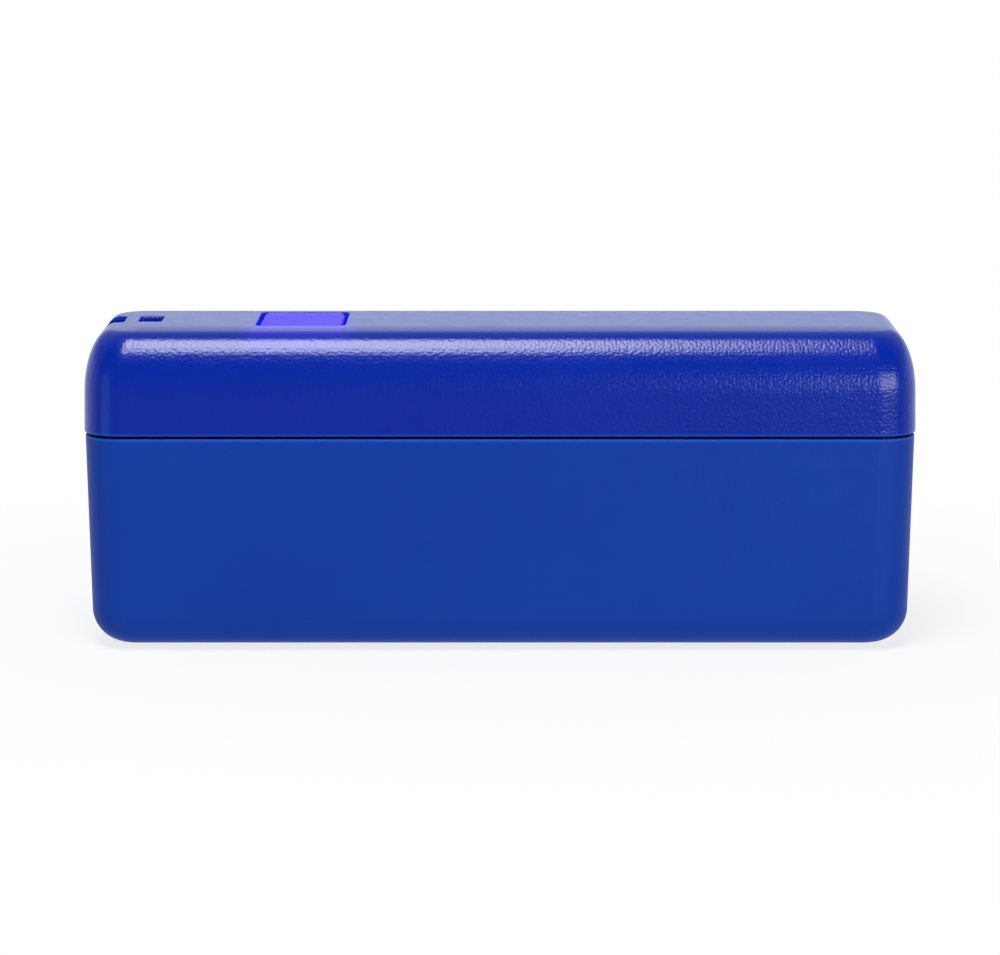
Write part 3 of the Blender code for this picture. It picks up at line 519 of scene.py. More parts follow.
class Finish:
    """A Principled material with procedural detail in object coordinates, which are metres."""

    def __init__(self, name, roughness, metallic=0.0, specular=0.5):
        self.material = bpy.data.materials.new(name)
        self.material.use_nodes = True
        self.tree = self.material.node_tree
        self.shader = self.tree.nodes["Principled BSDF"]
        self.shader.inputs["Roughness"].default_value = roughness
        self.shader.inputs["Metallic"].default_value = metallic
        self.shader.inputs["Specular IOR Level"].default_value = specular
        self.coordinates = self.node("ShaderNodeTexCoord").outputs["Object"]
        self.normal = None

    def node(self, kind, inputs=(), **settings):
        return add(self.tree, kind, inputs, **settings)

    def link(self, value, name):
        self.tree.links.new(value, self.shader.inputs[name])

    def math(self, operation, first, second):
        return self.node("ShaderNodeMath", {0: first, 1: second}, operation=operation).outputs[0]

    def vector(self, operation, first, second=(0, 0, 0)):
        return self.node("ShaderNodeVectorMath", {0: first, 1: second},
                         operation=operation).outputs[0]

    def parts(self, vector):
        return self.node("ShaderNodeSeparateXYZ", {"Vector": vector}).outputs

    def height(self):
        return self.parts(self.coordinates)["Z"]

    def noise(self, pitch, detail=3.0):
        """Noise whose features are about pitch metres across."""
        return self.node("ShaderNodeTexNoise", {
            "Vector": self.coordinates, "Scale": 1 / pitch, "Detail": detail}).outputs["Fac"]

    def pebbles(self, pitch):
        """Small domes side by side, 0 in their middles and about a quarter at their edges."""
        away = self.node("ShaderNodeTexVoronoi", {
            "Vector": self.coordinates, "Scale": 1 / pitch, "Randomness": 0.65}, feature="F1"
        ).outputs["Distance"]
        return self.math("MULTIPLY", away, away)

    def band(self, value, low, high, first, last):
        """Map a value between two limits to a new range."""
        return self.node("ShaderNodeMapRange", {
            "Value": value, "From Min": low, "From Max": high, "To Min": first, "To Max": last}
        ).outputs["Result"]

    def all_of(self, *shares):
        """The product of several shares from 0 to 1."""
        held = shares[0]
        for share in shares[1:]:
            held = self.math("MULTIPLY", held, share)
        return held

    def outside(self, low, high):
        """Metres past a rectangle's sides along X and Y, and the place seen from its middle."""
        low, high = Vector((*low, 0)) * MM, Vector((*high, 0)) * MM
        place = self.vector("SUBTRACT", self.coordinates, (low + high) / 2)
        past = self.vector("SUBTRACT", self.vector("ABSOLUTE", place), (high - low) / 2)
        return self.parts(past), self.parts(place)

    def colour(self, value, first, second, low=0.35, high=0.65):
        """Colour that runs from one to another as a value rises."""
        mix = self.node("ShaderNodeMix", data_type="RGBA")
        factor = self.band(value, low, high, 0.0, 1.0)
        self.tree.links.new(factor, mix.inputs["Factor"])
        for socket, shown in (("A", first), ("B", second)):
            held = next(s for s in mix.inputs if s.name == socket and s.type == "RGBA")
            if isinstance(shown, bpy.types.NodeSocket):
                self.tree.links.new(shown, held)
            else:
                held.default_value = (*shown, 1.0)
        return next(s for s in mix.outputs if s.type == "RGBA")

    def rough(self, value, low, high, limits):
        self.link(self.band(value, low, high, *limits), "Roughness")

    def bump(self, height, depth, invert=False):
        """Relief that is depth metres high where the height runs from 0 to 1."""
        made = self.node("ShaderNodeBump", {"Height": height, "Distance": depth}, invert=invert)
        if self.normal is not None:
            self.tree.links.new(self.normal, made.inputs["Normal"])
        self.normal = made.outputs["Normal"]
        self.link(self.normal, "Normal")


def shell_finish(name, deep, lit, edge, way, pitch, relief, fine, roughness, specular):
    """Satin moulded plastic with a pebbled mould grain, with a painted highlight that pales it
    along its rounded edge at the seam and painted shade that darkens it in the seam.

    way is 1 for the shell above the seam and -1 for the one below.
    """
    made = Finish(name, sum(roughness) / 2, specular=specular)
    skin = made.colour(made.noise(0.035), deep, lit, 0.3, 0.7)
    height = made.height()
    # Painted highlight: a paler blue on the rounded edge beside the seam. Painted shade:
    # near-black in the seam's gap.
    for shown, limits in ((edge, EDGE_HIGHLIGHT_SPAN), (SEAM_SHADE_COLOUR, SEAM_SHADOW)):
        low, high = sorted(metres(*(SEAM + way * away for away in limits)))
        skin = made.colour(height, *((shown, skin) if way > 0 else (skin, shown)), low, high)
    made.link(skin, "Base Color")
    made.rough(made.noise(0.0035, 4.0), 0.3, 0.7, roughness)
    made.bump(made.pebbles(pitch), relief, invert=True)
    made.bump(made.noise(pitch * 0.4, 2.0), fine)
    return made


def lid_finish():
    """The lid's grained blue, with the button's glow painted round its hole and in it, and painted
    light on the strap slots' walls.
    """
    # The third colour is the painted highlight along the lid's rounded edge at the seam.
    made = shell_finish("blue_lid", (0.0003, 0.0172, 0.300), (0.0005, 0.0192, 0.318),
                        (0.0006, 0.0480, 0.440), way=1, pitch=0.00070, relief=0.000036,
                        fine=0.000002, roughness=(0.20, 0.23), specular=0.5)
    height = made.height()
    centre, half = Vector(seen_along(Z, "power_button")), Vector(BUTTON_HOLE) / 2
    past, place = made.outside(centre - half, centre + half)
    # Painted light: the button's glow on the hole's walls (wall) and on the lid round the hole
    # (halo).
    wall = made.all_of(
        made.band(made.math("MAXIMUM", past["X"], past["Y"]), *metres(0.3, 0.6), 1.0, 0.0),
        made.band(height, *metres(TOP - 0.45, TOP - 0.2), 1.0, 0.0))
    halo = made.all_of(
        made.band(past["X"], *metres(*HALO_SIDE), 1.0, 0.0),
        made.band(place["Y"], *metres(*HALO_FRONT), 0.25, 1.0),
        made.band(place["Y"], *metres(*HALO_BACK), 1.0, 0.0),
        made.band(height, *metres(TOP - 5, TOP - 2), 0.0, 1.0))
    # Painted light on the strap slots' walls, below their rounded mouths.
    past, place = made.outside((OUTER_SLOT_X[0], SLOT_Y[0]), (INNER_SLOT_X[1], SLOT_Y[1]))
    slot = made.all_of(
        made.band(made.math("MAXIMUM", past["X"], past["Y"]), *metres(0.1, 0.2), 1.0, 0.0),
        made.band(height, *metres(TOP - 0.5, TOP - 0.25), 1.0, 0.0))
    glow = made.colour(wall, HALO_GLOW, HOLE_GLOW, 0.0, 1.0)
    made.link(made.colour(slot, glow, SLOT_PAINTED_LIGHT, 0.0, 1.0), "Emission Color")
    made.link(made.math("MAXIMUM", slot, made.math("MAXIMUM", wall, halo)), "Emission Strength")
    return made.material


def plain_finish(name, first, second, roughness, metallic=0.0, pitch=0.002, relief=0.00001):
    """A small part's finish: slow colour drift, uneven polish and fine relief."""
    made = Finish(name, sum(roughness) / 2, metallic)
    made.link(made.colour(made.noise(pitch * 3), first, second), "Base Color")
    made.rough(made.noise(pitch, 4.0), 0.35, 0.65, roughness)
    made.bump(made.noise(pitch * 0.2), relief)
    return made.material


def striped_finish(name, first, second, roughness, axis, pitch, relief, metallic=0.0):
    """Fine parallel ridges across one axis: windings, laminations or the wires of a ribbon."""
    made = Finish(name, sum(roughness) / 2, metallic)
    wave = made.node("ShaderNodeTexWave", {
        "Vector": made.coordinates, "Scale": 1 / pitch / WAVES_PER_SCALE, "Distortion": 0.15,
        "Detail": 1.0, "Detail Scale": 2.0}, wave_type="BANDS", bands_direction="XYZ"[axis],
        wave_profile="SIN").outputs["Fac"]
    made.link(made.colour(wave, first, second, 0.1, 0.9), "Base Color")
    made.rough(made.noise(0.002), 0.35, 0.65, roughness)
    made.bump(wave, relief)
    return made.material


def button_finish():
    """A translucent satin cap, lit from below: brighter and more violet at the top."""
    made = Finish("violet_cap", 0.6, specular=0.08)
    glow = made.colour(made.height(), (0.002, 0.004, 0.62), (0.094, 0.068, 0.62),
                       *metres(TOP - 1.2, TOP - 0.15))
    made.link(glow, "Emission Color")
    made.shader.inputs["Emission Strength"].default_value = 1.0
    made.link(made.colour(made.noise(0.006, 2.0), (0.046, 0.032, 0.32), (0.054, 0.038, 0.36)),
              "Base Color")
    made.rough(made.noise(0.0012), 0.3, 0.7, (0.55, 0.68))
    made.bump(made.noise(0.0003, 2.0), 0.000006)
    return made.material


def board_finish():
    """Green solder mask with darker tracks and a scatter of pale vias."""
    made = Finish("circuit_board", 0.35)
    tracks = made.node("ShaderNodeTexBrick", {
        "Vector": made.coordinates, "Scale": 1.0, "Mortar Size": 0.00018,
        "Brick Width": 0.0062, "Row Height": 0.0021, "Color1": (0.006, 0.10, 0.035, 1),
        "Color2": (0.008, 0.13, 0.045, 1), "Mortar": (0.02, 0.24, 0.09, 1)}).outputs
    via = made.node("ShaderNodeTexVoronoi", {"Vector": made.coordinates, "Scale": 260.0},
                    feature="F1").outputs["Distance"]
    made.link(made.colour(via, (0.55, 0.50, 0.36), tracks["Color"], 0.10, 0.13), "Base Color")
    made.rough(via, 0.1, 0.2, (0.25, 0.42))
    made.bump(tracks["Fac"], 0.00003)
    return made.material


WAVES_PER_SCALE = 3.1831
# The small parts' finishes: two colours, the roughness, and whatever else is not the default.
PLAIN = {
    "black_plastic": ((0.010, 0.010, 0.011), (0.017, 0.017, 0.019), (0.38, 0.52)),
    "grey_plastic": ((0.20, 0.20, 0.21), (0.27, 0.27, 0.28), (0.40, 0.55)),
    "lamp": ((0.78, 0.76, 0.70), (0.86, 0.84, 0.78), (0.30, 0.40)),
    "steel": ((0.48, 0.48, 0.49), (0.56, 0.56, 0.57), (0.26, 0.34),
              {"metallic": 1.0, "relief": 0.0000015}),
    "nickel": ((0.66, 0.64, 0.60), (0.74, 0.72, 0.68), (0.22, 0.29),
               {"metallic": 1.0, "relief": 0.0000012}),
    "pin_metal": ((0.72, 0.51, 0.20), (0.80, 0.59, 0.25), (0.20, 0.27),
                  {"metallic": 1.0, "relief": 0.000001}),
    "rubber": ((0.012, 0.012, 0.012), (0.022, 0.022, 0.022), (0.70, 0.88),
               {"relief": 0.00002}),
    "capacitor_can": ((0.012, 0.014, 0.030), (0.020, 0.024, 0.048), (0.28, 0.40)),
    "film_red": ((0.34, 0.014, 0.010), (0.44, 0.022, 0.015), (0.26, 0.36)),
    "white_plastic": ((0.70, 0.69, 0.63), (0.78, 0.77, 0.71), (0.38, 0.50)),
    "battery_case": ((0.10, 0.10, 0.11), (0.15, 0.15, 0.16), (0.28, 0.40), {"metallic": 0.6}),
    "foam": ((0.045, 0.045, 0.048), (0.085, 0.085, 0.09), (0.90, 1.0),
             {"pitch": 0.001, "relief": 0.0002}),
}
STRIPED = {
    "copper": ((0.45, 0.16, 0.055), (0.78, 0.36, 0.15), (0.25, 0.38), Z, 0.00028, 0.00005, 1.0),
    "cable_grey": ((0.10, 0.10, 0.105), (0.34, 0.34, 0.35), (0.42, 0.55), X, 0.00105, 0.00025),
    "laminations": ((0.16, 0.16, 0.165), (0.34, 0.34, 0.35), (0.32, 0.46), Y, 0.0005, 0.00006,
                    1.0),
}


def all_finishes():
    # The third colour is the painted highlight along the body's rounded edge at the seam.
    body = shell_finish("blue_body", (0.0014, 0.0375, 0.318), (0.0018, 0.0415, 0.338),
                        (0.0035, 0.0820, 0.560), way=-1, pitch=0.00050, relief=0.000018,
                        fine=0.000003, roughness=(0.36, 0.42), specular=0.16)
    made = {"blue_lid": lid_finish(), "blue_body": body.material,
            "violet_button": button_finish(), "circuit_board": board_finish()}
    for name, (first, second, roughness, *more) in PLAIN.items():
        made[name] = plain_finish(name, first, second, roughness, **(more[0] if more else {}))
    for name, values in STRIPED.items():
        made[name] = striped_finish(name, *values)
    return made


# ---------------------------------------------------------------- the two shells

def case_ring(inset_x, inset_y, corner, z):
    size = (WIDTH - 2 * inset_x, DEPTH - 2 * inset_y)
    return [(u, v, z) for u, v in rounded(size, corner, CORNER_STEPS)]


def crowned_ring(inset_x, inset_y, corner, crowned, flat, right_out):
    """A ring of the lid's skin: crowned at the front, flat at the back, squarer at the right."""
    return [(u + right_out if u > 0 else u, v, crowned + (flat - crowned) * flatness(v))
            for u, v, _ in case_ring(inset_x, inset_y, corner, 0)]


def flatness(v):
    """How far the crown is gone at a depth: 0 towards the front and 1 towards the back."""
    return min(max(0.5 + v / (2 * CROWN_END_Y), 0.0), 1.0)


def crown_height(share):
    """Height of the rolling top, from its low outer end at 0 to the flat at 1."""
    return TOP - CROWN_DROP * (1 - share) ** 2


def edge_heights(rise):
    """The round edge's height where the top is crowned and where it is flat."""
    return LID_EDGE_START + (LID_EDGE_Z - CROWN_DROP) * rise, LID_EDGE_START + LID_EDGE_Z * rise


def rim(inset, z):
    return (inset, inset, PLAN_CORNER - inset, z)


def falling(end=math.pi / 2, steps=EDGE_STEPS):
    """Even steps from an end down to 0, such as the angles of a round edge."""
    return [step / steps * end for step in range(steps, -1, -1)]


def lid_levels(inward):
    """Levels from the top down to where the round edge ends."""
    lead = inward + LID_LEAD
    shrink = 0.6 * inward
    levels = []
    for angle in falling():
        off = 1 - math.cos(angle)
        levels.append((lead + (LID_EDGE_X - shrink) * off, lead + (LID_EDGE_Y - shrink) * off,
                       PLAN_CORNER - inward - LID_CORNER_LOSS * off,
                       LID_EDGE_START + (LID_EDGE_Z - inward) * math.sin(angle)))
    return levels


def crowned_levels():
    """The lid's outer levels: its top rolls gently into the round edge at the front."""
    levels = []
    for share in falling(1.0, CROWN_STEPS)[:-1]:
        levels.append((LID_LEAD + LID_EDGE_X * CROWN_SHARE + CROWN_WIDTH[0] * share,
                       LID_LEAD + LID_EDGE_Y * CROWN_SHARE + CROWN_WIDTH[1] * share,
                       PLAN_CORNER - LID_CORNER_LOSS * CROWN_SHARE - CROWN_CORNER_LOSS * share,
                       crown_height(share), TOP, RIGHT_SQUARER * CROWN_WIDTH[0] * share))
    for angle in falling(CROWN_ANGLE):
        off = 1 - math.cos(angle)
        levels.append((LID_LEAD + LID_EDGE_X * off, LID_LEAD + LID_EDGE_Y * off,
                       PLAN_CORNER - LID_CORNER_LOSS * off,
                       *edge_heights(math.sin(angle) / math.sin(CROWN_ANGLE)), 0.0))
    return levels


def body_levels(inward):
    edge = BODY_EDGE - inward
    start = BOTTOM + BODY_EDGE
    lead = inward + LID_OVERHANG + (SEAM - start) * DRAFT
    levels = []
    for angle in falling():
        off = 1 - math.cos(angle)
        inset = lead + edge * off
        levels.append((inset, inset, PLAN_CORNER - inward - (BODY_CORNER_LOSS - inward) * off,
                       start - edge * math.sin(angle)))
    return levels


def rim_round(inset, z, upward):
    """A small round edge from the skin to the face of the parting line."""
    return [rim(inset + SEAM_ROUND * (1 - math.cos(angle)),
                z + upward * SEAM_ROUND * (1 - math.sin(angle)))
            for angle in falling(steps=3)[::-1]]


def lid_skin(u, v):
    """Height of the lid's outer surface near its long middle."""
    inset = WIDTH / 2 - abs(u) - LID_LEAD
    share = (inset - LID_EDGE_X * CROWN_SHARE) / CROWN_WIDTH[0]
    if share >= 0:
        crowned, flat = crown_height(min(share, 1.0)), TOP
    else:
        crowned, flat = edge_heights(math.sin(math.acos(max(0.0, 1 - inset / LID_EDGE_X)))
                                     / math.sin(CROWN_ANGLE))
    return crowned + (flat - crowned) * flatness(v)


def back_skin(u, v):
    """Depth of the lower shell's back wall at a height v."""
    return DEPTH / 2 - LID_OVERHANG - (SEAM - v) * DRAFT


def underside(u, v):
    return BOTTOM


def across(*sides):
    """The size and the middle of an opening, from the two limits of each side."""
    return tuple(high - low for low, high in sides), tuple((low + high) / 2 for low, high in sides)


def lid():
    edge = SEAM + SEAM_GAP / 2
    groove = TONGUE_INSET - CLEAR
    groove_top = SEAM + TONGUE_HEIGHT + CLEAR
    levels = (rim_round(0.0, edge, 1)
              + [rim(groove, edge), rim(groove, groove_top), rim(WALL, groove_top)]
              + lid_levels(WALL)[::-1])
    made = stack("lid_shell", [crowned_ring(*level) for level in crowned_levels()]
                 + [case_ring(*level) for level in levels])
    centre = seen_along(Z, "power_button")
    collar = rounded([side + 2 * COLLAR_WALL for side in BUTTON_HOLE],
                     BUTTON_CORNER + COLLAR_WALL, 6, centre)
    tools = [("+", prism("collar", collar, COLLAR_BOTTOM, CEILING + 1))]
    for place in corners(BOSS_X, BOSS_Y):
        tools.append(("+", rod("boss", place, SEAM + CLEAR, CEILING + 1, LID_BOSS_RADIUS)))
    for place in corners(POST_X, POST_Y):
        tools.append(("+", rod("post", place, BOARD_TOP + CLEAR, CEILING + 1, POST_RADIUS)))
    tools.append(("-", flared("button_hole", mouth(BUTTON_HOLE, BUTTON_CORNER, centre),
                              COLLAR_BOTTOM - 1, lid_skin, HOLE_ROUND)))
    for slot_x in (INNER_SLOT_X, OUTER_SLOT_X):
        size, slot_centre = across(slot_x, SLOT_Y)
        tools.append(("-", flared("slot", mouth(size, SLOT_CORNER, slot_centre, 5), SLOT_BOTTOM,
                                  lid_skin, HOLE_ROUND)))
    for places, start, depth in ((corners(BOSS_X, BOSS_Y), SEAM, CASE_PILOT_DEPTH),
                                 (corners(POST_X, POST_Y), BOARD_TOP, BOARD_PILOT_DEPTH)):
        tools += [("-", rod("pilot", place, start - 1, start + depth, PILOT_RADIUS, count=24))
                  for place in places]
    weigh(worked(made, tools))
    dress(made, "upper_shell", "blue_lid")


def body():
    edge = SEAM - SEAM_GAP / 2
    tongue_top = SEAM + TONGUE_HEIGHT
    levels = (body_levels(0) + rim_round(LID_OVERHANG, edge, -1)
              + [rim(TONGUE_INSET, edge), rim(TONGUE_INSET, tongue_top),
                 rim(WALL + LID_OVERHANG, tongue_top)] + body_levels(WALL)[::-1])
    made = stack("body_shell", [case_ring(*level) for level in levels])
    weigh(worked(made, body_walls() + body_openings()))
    dress(made, "lower_shell", "blue_body")


def body_walls():
    tools = []
    for place in corners(BOSS_X, BOSS_Y):
        tools.append(("+", rod("boss", place, FLOOR_TOP - 1, SEAM - CLEAR, BODY_BOSS_RADIUS)))
    return tools + [
        ("+", box("bay_walls", (BAY_X[0] - BAY_WALL, -BAY_HALF_Y - BAY_WALL, FLOOR_TOP - 1),
                  (BAY_X[1] + BAY_WALL, BAY_HALF_Y + BAY_WALL, BAY_CEILING + BAY_WALL))),
        ("+", box("recess_walls", (RECESS_X[0] - RECESS_WALL, PANEL_BACK,
                                   RECESS_Z[0] - RECESS_WALL),
                  (RECESS_X[1] + RECESS_WALL, DEPTH / 2 - 2, SEAM - CLEAR))),
    ]


def body_openings():
    def panel_hole(name, place, radius, count=32):
        return ("-", rod(name, place, PANEL_BACK - 1, PANEL_FACE + 1, radius, Y, count))

    tools = []
    for place in corners(BOSS_X, BOSS_Y):
        tools.append(("-", flared("counterbore", round_mouth(HEAD_RADIUS + CLEAR, place),
                                  SCREW_SEAT, corner_skin, 0.3, outward=-1)))
        tools.append(("-", rod("screw_hole", place, SCREW_SEAT - 1, SCREW_SEAT + 10,
                               PILOT_RADIUS, count=24)))
    bay_end = BAY_X[1] - 1
    size, centre = across(RECESS_X, RECESS_Z)
    tools += [
        ("-", box("bay_space", (BAY_X[0], -BAY_HALF_Y, -1), (BAY_X[1], BAY_HALF_Y, BAY_CEILING))),
        ("-", rod("lead_hole", (0, BAY_CEILING - 4), bay_end, BAY_X[1] + 3, 2.4, X)),
        ("-", rod("hinge_socket", (HINGE_X, HINGE_Z), -BAY_HALF_Y - 1.1, BAY_HALF_Y + 1.1, 1.0,
                  Y, 24)),
        ("-", rod("finger_notch", (0, BOTTOM - 2.2), bay_end, BAY_X[1] + 4, 4.0, X, 48)),
        ("-", flared("recess", mouth(size, RECESS_CORNER, centre, 8), PANEL_FACE, back_skin, 0.5,
                     axis=Y)),
    ]
    for node in ("input_jack", "thru_jack"):
        tools.append(panel_hole("jack_hole", (middle(node).x, SOCKET_Z), BUSHING_RADIUS + CLEAR))
    tools.append(panel_hole("xlr_hole", (XLR_X, SOCKET_Z), XLR_BARREL_RADIUS + CLEAR, 48))
    for place in xlr_screw_places():
        tools.append(panel_hole("xlr_screw_hole", place, PILOT_RADIUS, 24))
    for node in ("pad_switch", "ground_lift_switch"):
        window = mouth(SWITCH_WINDOW, 0.5, (middle(node).x, SOCKET_Z), 4)
        tools.append(("-", flared("window", window, SWITCH_FRONT - 1, back_skin, 0.3, axis=Y)))
    for place in corners(FOOT_X, FOOT_Y):
        tools.append(("-", flared("foot_recess", round_mouth(FOOT_RADIUS + CLEAR, place, 40),
                                  BOTTOM + FOOT_RECESS, underside, 0.15, outward=-1)))
    return tools


def xlr_screw_places():
    right, up = XLR_FLANGE_SCREW
    return ((XLR_X - right, SOCKET_Z + up), (XLR_X + right, SOCKET_Z - up))


def corner_skin(u, v):
    """Height of the underside's round edge over the case screws, seen along X and Y."""
    inset = min(WIDTH / 2 - abs(u), DEPTH / 2 - abs(v))
    lead = LID_OVERHANG + (SEAM - BOTTOM - BODY_EDGE) * DRAFT
    share = (inset - lead) / BODY_EDGE
    if share >= 1:
        return BOTTOM
    return BOTTOM + BODY_EDGE * (1 - math.sin(math.acos(max(0.0, 1 - share))))


# ---------------------------------------------------------------- button

def power_button():
    centre = seen_along(Z, "power_button")
    flange_low, flange_high = FLANGE_SPAN
    levels = [([side - 2 * CAP_FACE_INSET for side in BUTTON_CAP], CAP_FACE_CORNER, TOP)]
    for angle in falling(steps=5):
        inset = CAP_EDGE * (1 - math.cos(angle))
        levels.append(([side - 2 * inset for side in BUTTON_CAP], CAP_CORNER - inset * 0.6,
                       TOP - 0.04 - CAP_EDGE * (1 - math.sin(angle))))
    inside = [side - 2 * CAP_WALL for side in BUTTON_CAP]
    levels += [(BUTTON_CAP, CAP_CORNER, flange_high), (BUTTON_FLANGE, BUTTON_CORNER, flange_high),
               (BUTTON_FLANGE, BUTTON_CORNER, flange_low),
               (inside, CAP_INSIDE_CORNER, flange_low), (inside, CAP_INSIDE_CORNER, CAP_CEILING)]
    made = stack("button_cap", [[(u, v, z) for u, v in rounded(size, corner, 6, centre)]
                                for size, corner, z in levels])
    post_bottom = span("switch_plunger")[1].z + CLEAR
    weigh(worked(made, [("+", rod("post", centre, post_bottom, CAP_CEILING + 0.5, 2.0))]))
    dress(made, "power_button", "violet_button")


def plunger():
    low, high = span("switch_plunger")
    radius = (high.x - low.x) / 2
    made = turned("switch_plunger_cap", [(0, low.z), (radius, low.z)]
                  + arc((radius - 0.5, high.z - 0.5), 0.5, 0, 90)
                  + [(radius - 1.2, high.z), (radius - 1.6, high.z - 0.12), (0, high.z - 0.12)],
                  seen_along(Z, "switch_plunger"))
    dress(made, "switch_plunger", "grey_plastic")


# ---------------------------------------------------------------- screws and feet

def cross_outline(arm, width, centre):
    half = width / 2
    return [(centre[0] + u, centre[1] + v) for u, v in (
        (arm, -half), (arm, half), (half, half), (half, arm), (-half, arm), (-half, half),
        (-arm, half), (-arm, -half), (-half, -half), (-half, -arm), (half, -arm), (half, -half))]


def screw(node, name, seat, head_end, tip, centre, axis, head_radius):
    """A pan head screw with a cross recess, its head towards head_end.

    side is how much of the head's height is straight, and flat how much of its radius is flat.
    """
    way = 1 if head_end > seat else -1
    height = abs(head_end - seat)
    side, flat = 0.35, 0.42
    head = [(head_radius, seat), (head_radius, seat + way * height * side)]
    for angle in falling(steps=5)[-2::-1]:
        head.append((head_radius * (flat + (1 - flat) * math.cos(angle)),
                     seat + way * height * (side + (1 - side) * math.sin(angle))))
    profile = ([(0, tip), (SHANK_RADIUS * 0.4, tip + way * 0.2), (SHANK_RADIUS, tip + way * 1.4),
                (SHANK_RADIUS, seat)] + head + [(0, head_end)])
    made = turned(name, profile, centre, axis, 36)
    depth = min(1.1, height * 0.7)
    rings = [[along(axis, u, v, head_end + way * lift)
              for u, v in cross_outline(arm, width, centre)]
             for arm, width, lift in ((1.25, 0.55, 0.3), (1.15, 0.50, 0.0),
                                      (0.55, 0.30, -depth))]
    worked(made, [("-", stack("recess", rings))])
    dress(made, node, "steel")


def screws():
    for number in range(1, 5):
        for kind in ("case_screw", "board_screw"):
            node = f"{kind}_{number}"
            low, high = span(node)
            screw(node, f"{kind}_cross_{number}", low.z + HEAD_HEIGHT, low.z, high.z,
                  seen_along(Z, node), Z, HEAD_RADIUS)
    for number in (1, 2):
        node = f"xlr_screw_{number}"
        low, high = span(node)
        screw(node, f"xlr_screw_cross_{number}", high.y - XLR_HEAD_HEIGHT, high.y, low.y,
              seen_along(Y, node), Y, XLR_HEAD_RADIUS)


def feet():
    for number in range(1, 5):
        node = f"rubber_foot_{number}"
        low, high = span(node)
        radius = (high.x - low.x) / 2
        profile = ([(0, high.z), (radius, high.z)] + arc((radius - 0.35, 0.35), 0.35, 0, -90)
                   + [(radius * 0.55, 0.0), (radius * 0.5, 0.10), (0, 0.14)])
        made = turned(f"foot_pad_{number}", profile, seen_along(Z, node), count=48)
        dress(made, node, "rubber")


# ---------------------------------------------------------------- sockets

def jack(label):
    jack_body(label)
    centre = (middle(f"{label}_jack").x, SOCKET_Z)
    hole = BUSHING_RADIUS + CLEAR
    low, high = span(f"{label}_washer")
    outer = (high.x - low.x) / 2
    made = turned(f"{label}_jack_washer", [
        (hole, low.y), (outer, low.y), (outer, high.y - 0.12), (outer - 0.12, high.y),
        (hole + 0.1, high.y), (hole, high.y - 0.1)], centre, Y, 64)
    dress(made, f"{label}_washer", "nickel")

    low, high = span(f"{label}_nut")
    made = prism(f"{label}_jack_nut", circle(NUT_RADIUS, 6, centre), low.y, high.y, Y)
    flat = NUT_RADIUS * math.cos(math.pi / 6)
    drop = (NUT_RADIUS - flat) * math.tan(math.radians(30)) + 0.12
    chamfer = turned("chamfer", [
        (0, low.y - 1), (NUT_RADIUS + 1, low.y - 1), (NUT_RADIUS + 1, high.y - drop - 0.45),
        (NUT_RADIUS + 0.05, high.y - drop), (flat - 0.15, high.y), (0, high.y + 0.001)],
        centre, Y, 64)
    bore = turned("bore", [(0, low.y - 1), (hole, low.y - 1), (hole, high.y - 0.3),
                           (hole + 0.35, high.y + 0.05), (hole + 0.35, high.y + 1),
                           (0, high.y + 1)], centre, Y, 48)
    worked(made, [("&", chamfer), ("-", bore)])
    dress(made, f"{label}_nut", "nickel")


def jack_body(label):
    low, high = span(f"{label}_jack")
    x = middle(f"{label}_jack").x
    centre = (x, SOCKET_Z)
    made = soften(box(f"{label}_jack_body", (low.x, JACK_BODY_BACK, low.z),
                      (high.x, PANEL_BACK - CLEAR, high.z), Y, 1.2), 0.35, 3)
    tools = [("+", turned("bushing", [
        (0, 5.0), (BUSHING_RADIUS, 5.0), (BUSHING_RADIUS, high.y - 0.35),
        (BUSHING_RADIUS - 0.35, high.y), (JACK_BORE_RADIUS + 0.5, high.y),
        (JACK_BORE_RADIUS, high.y - 0.45), (JACK_BORE_RADIUS, high.y - 1.0), (0, high.y - 1.0)],
        centre, Y, 48))]
    for lug_x in LUG_XS:
        tools.append(("+", box("lug", (x + lug_x - 1.0, low.y, SOCKET_Z - 0.3),
                               (x + lug_x + 1.0, JACK_BODY_BACK + 0.5, SOCKET_Z + 0.3), Y, 0.25)))
    tools.append(("-", rod("bore", centre, JACK_BODY_BACK + 1.2, high.y - 0.6, JACK_BORE_RADIUS,
                           Y, 48)))
    for lug_x in LUG_XS:
        tools.append(("-", rod("eye", (x + lug_x, low.y + 1.3), SOCKET_Z - 1, SOCKET_Z + 1, 0.5,
                               Z, 16)))
    worked(made, tools)
    dress(made, f"{label}_jack", "black_plastic")


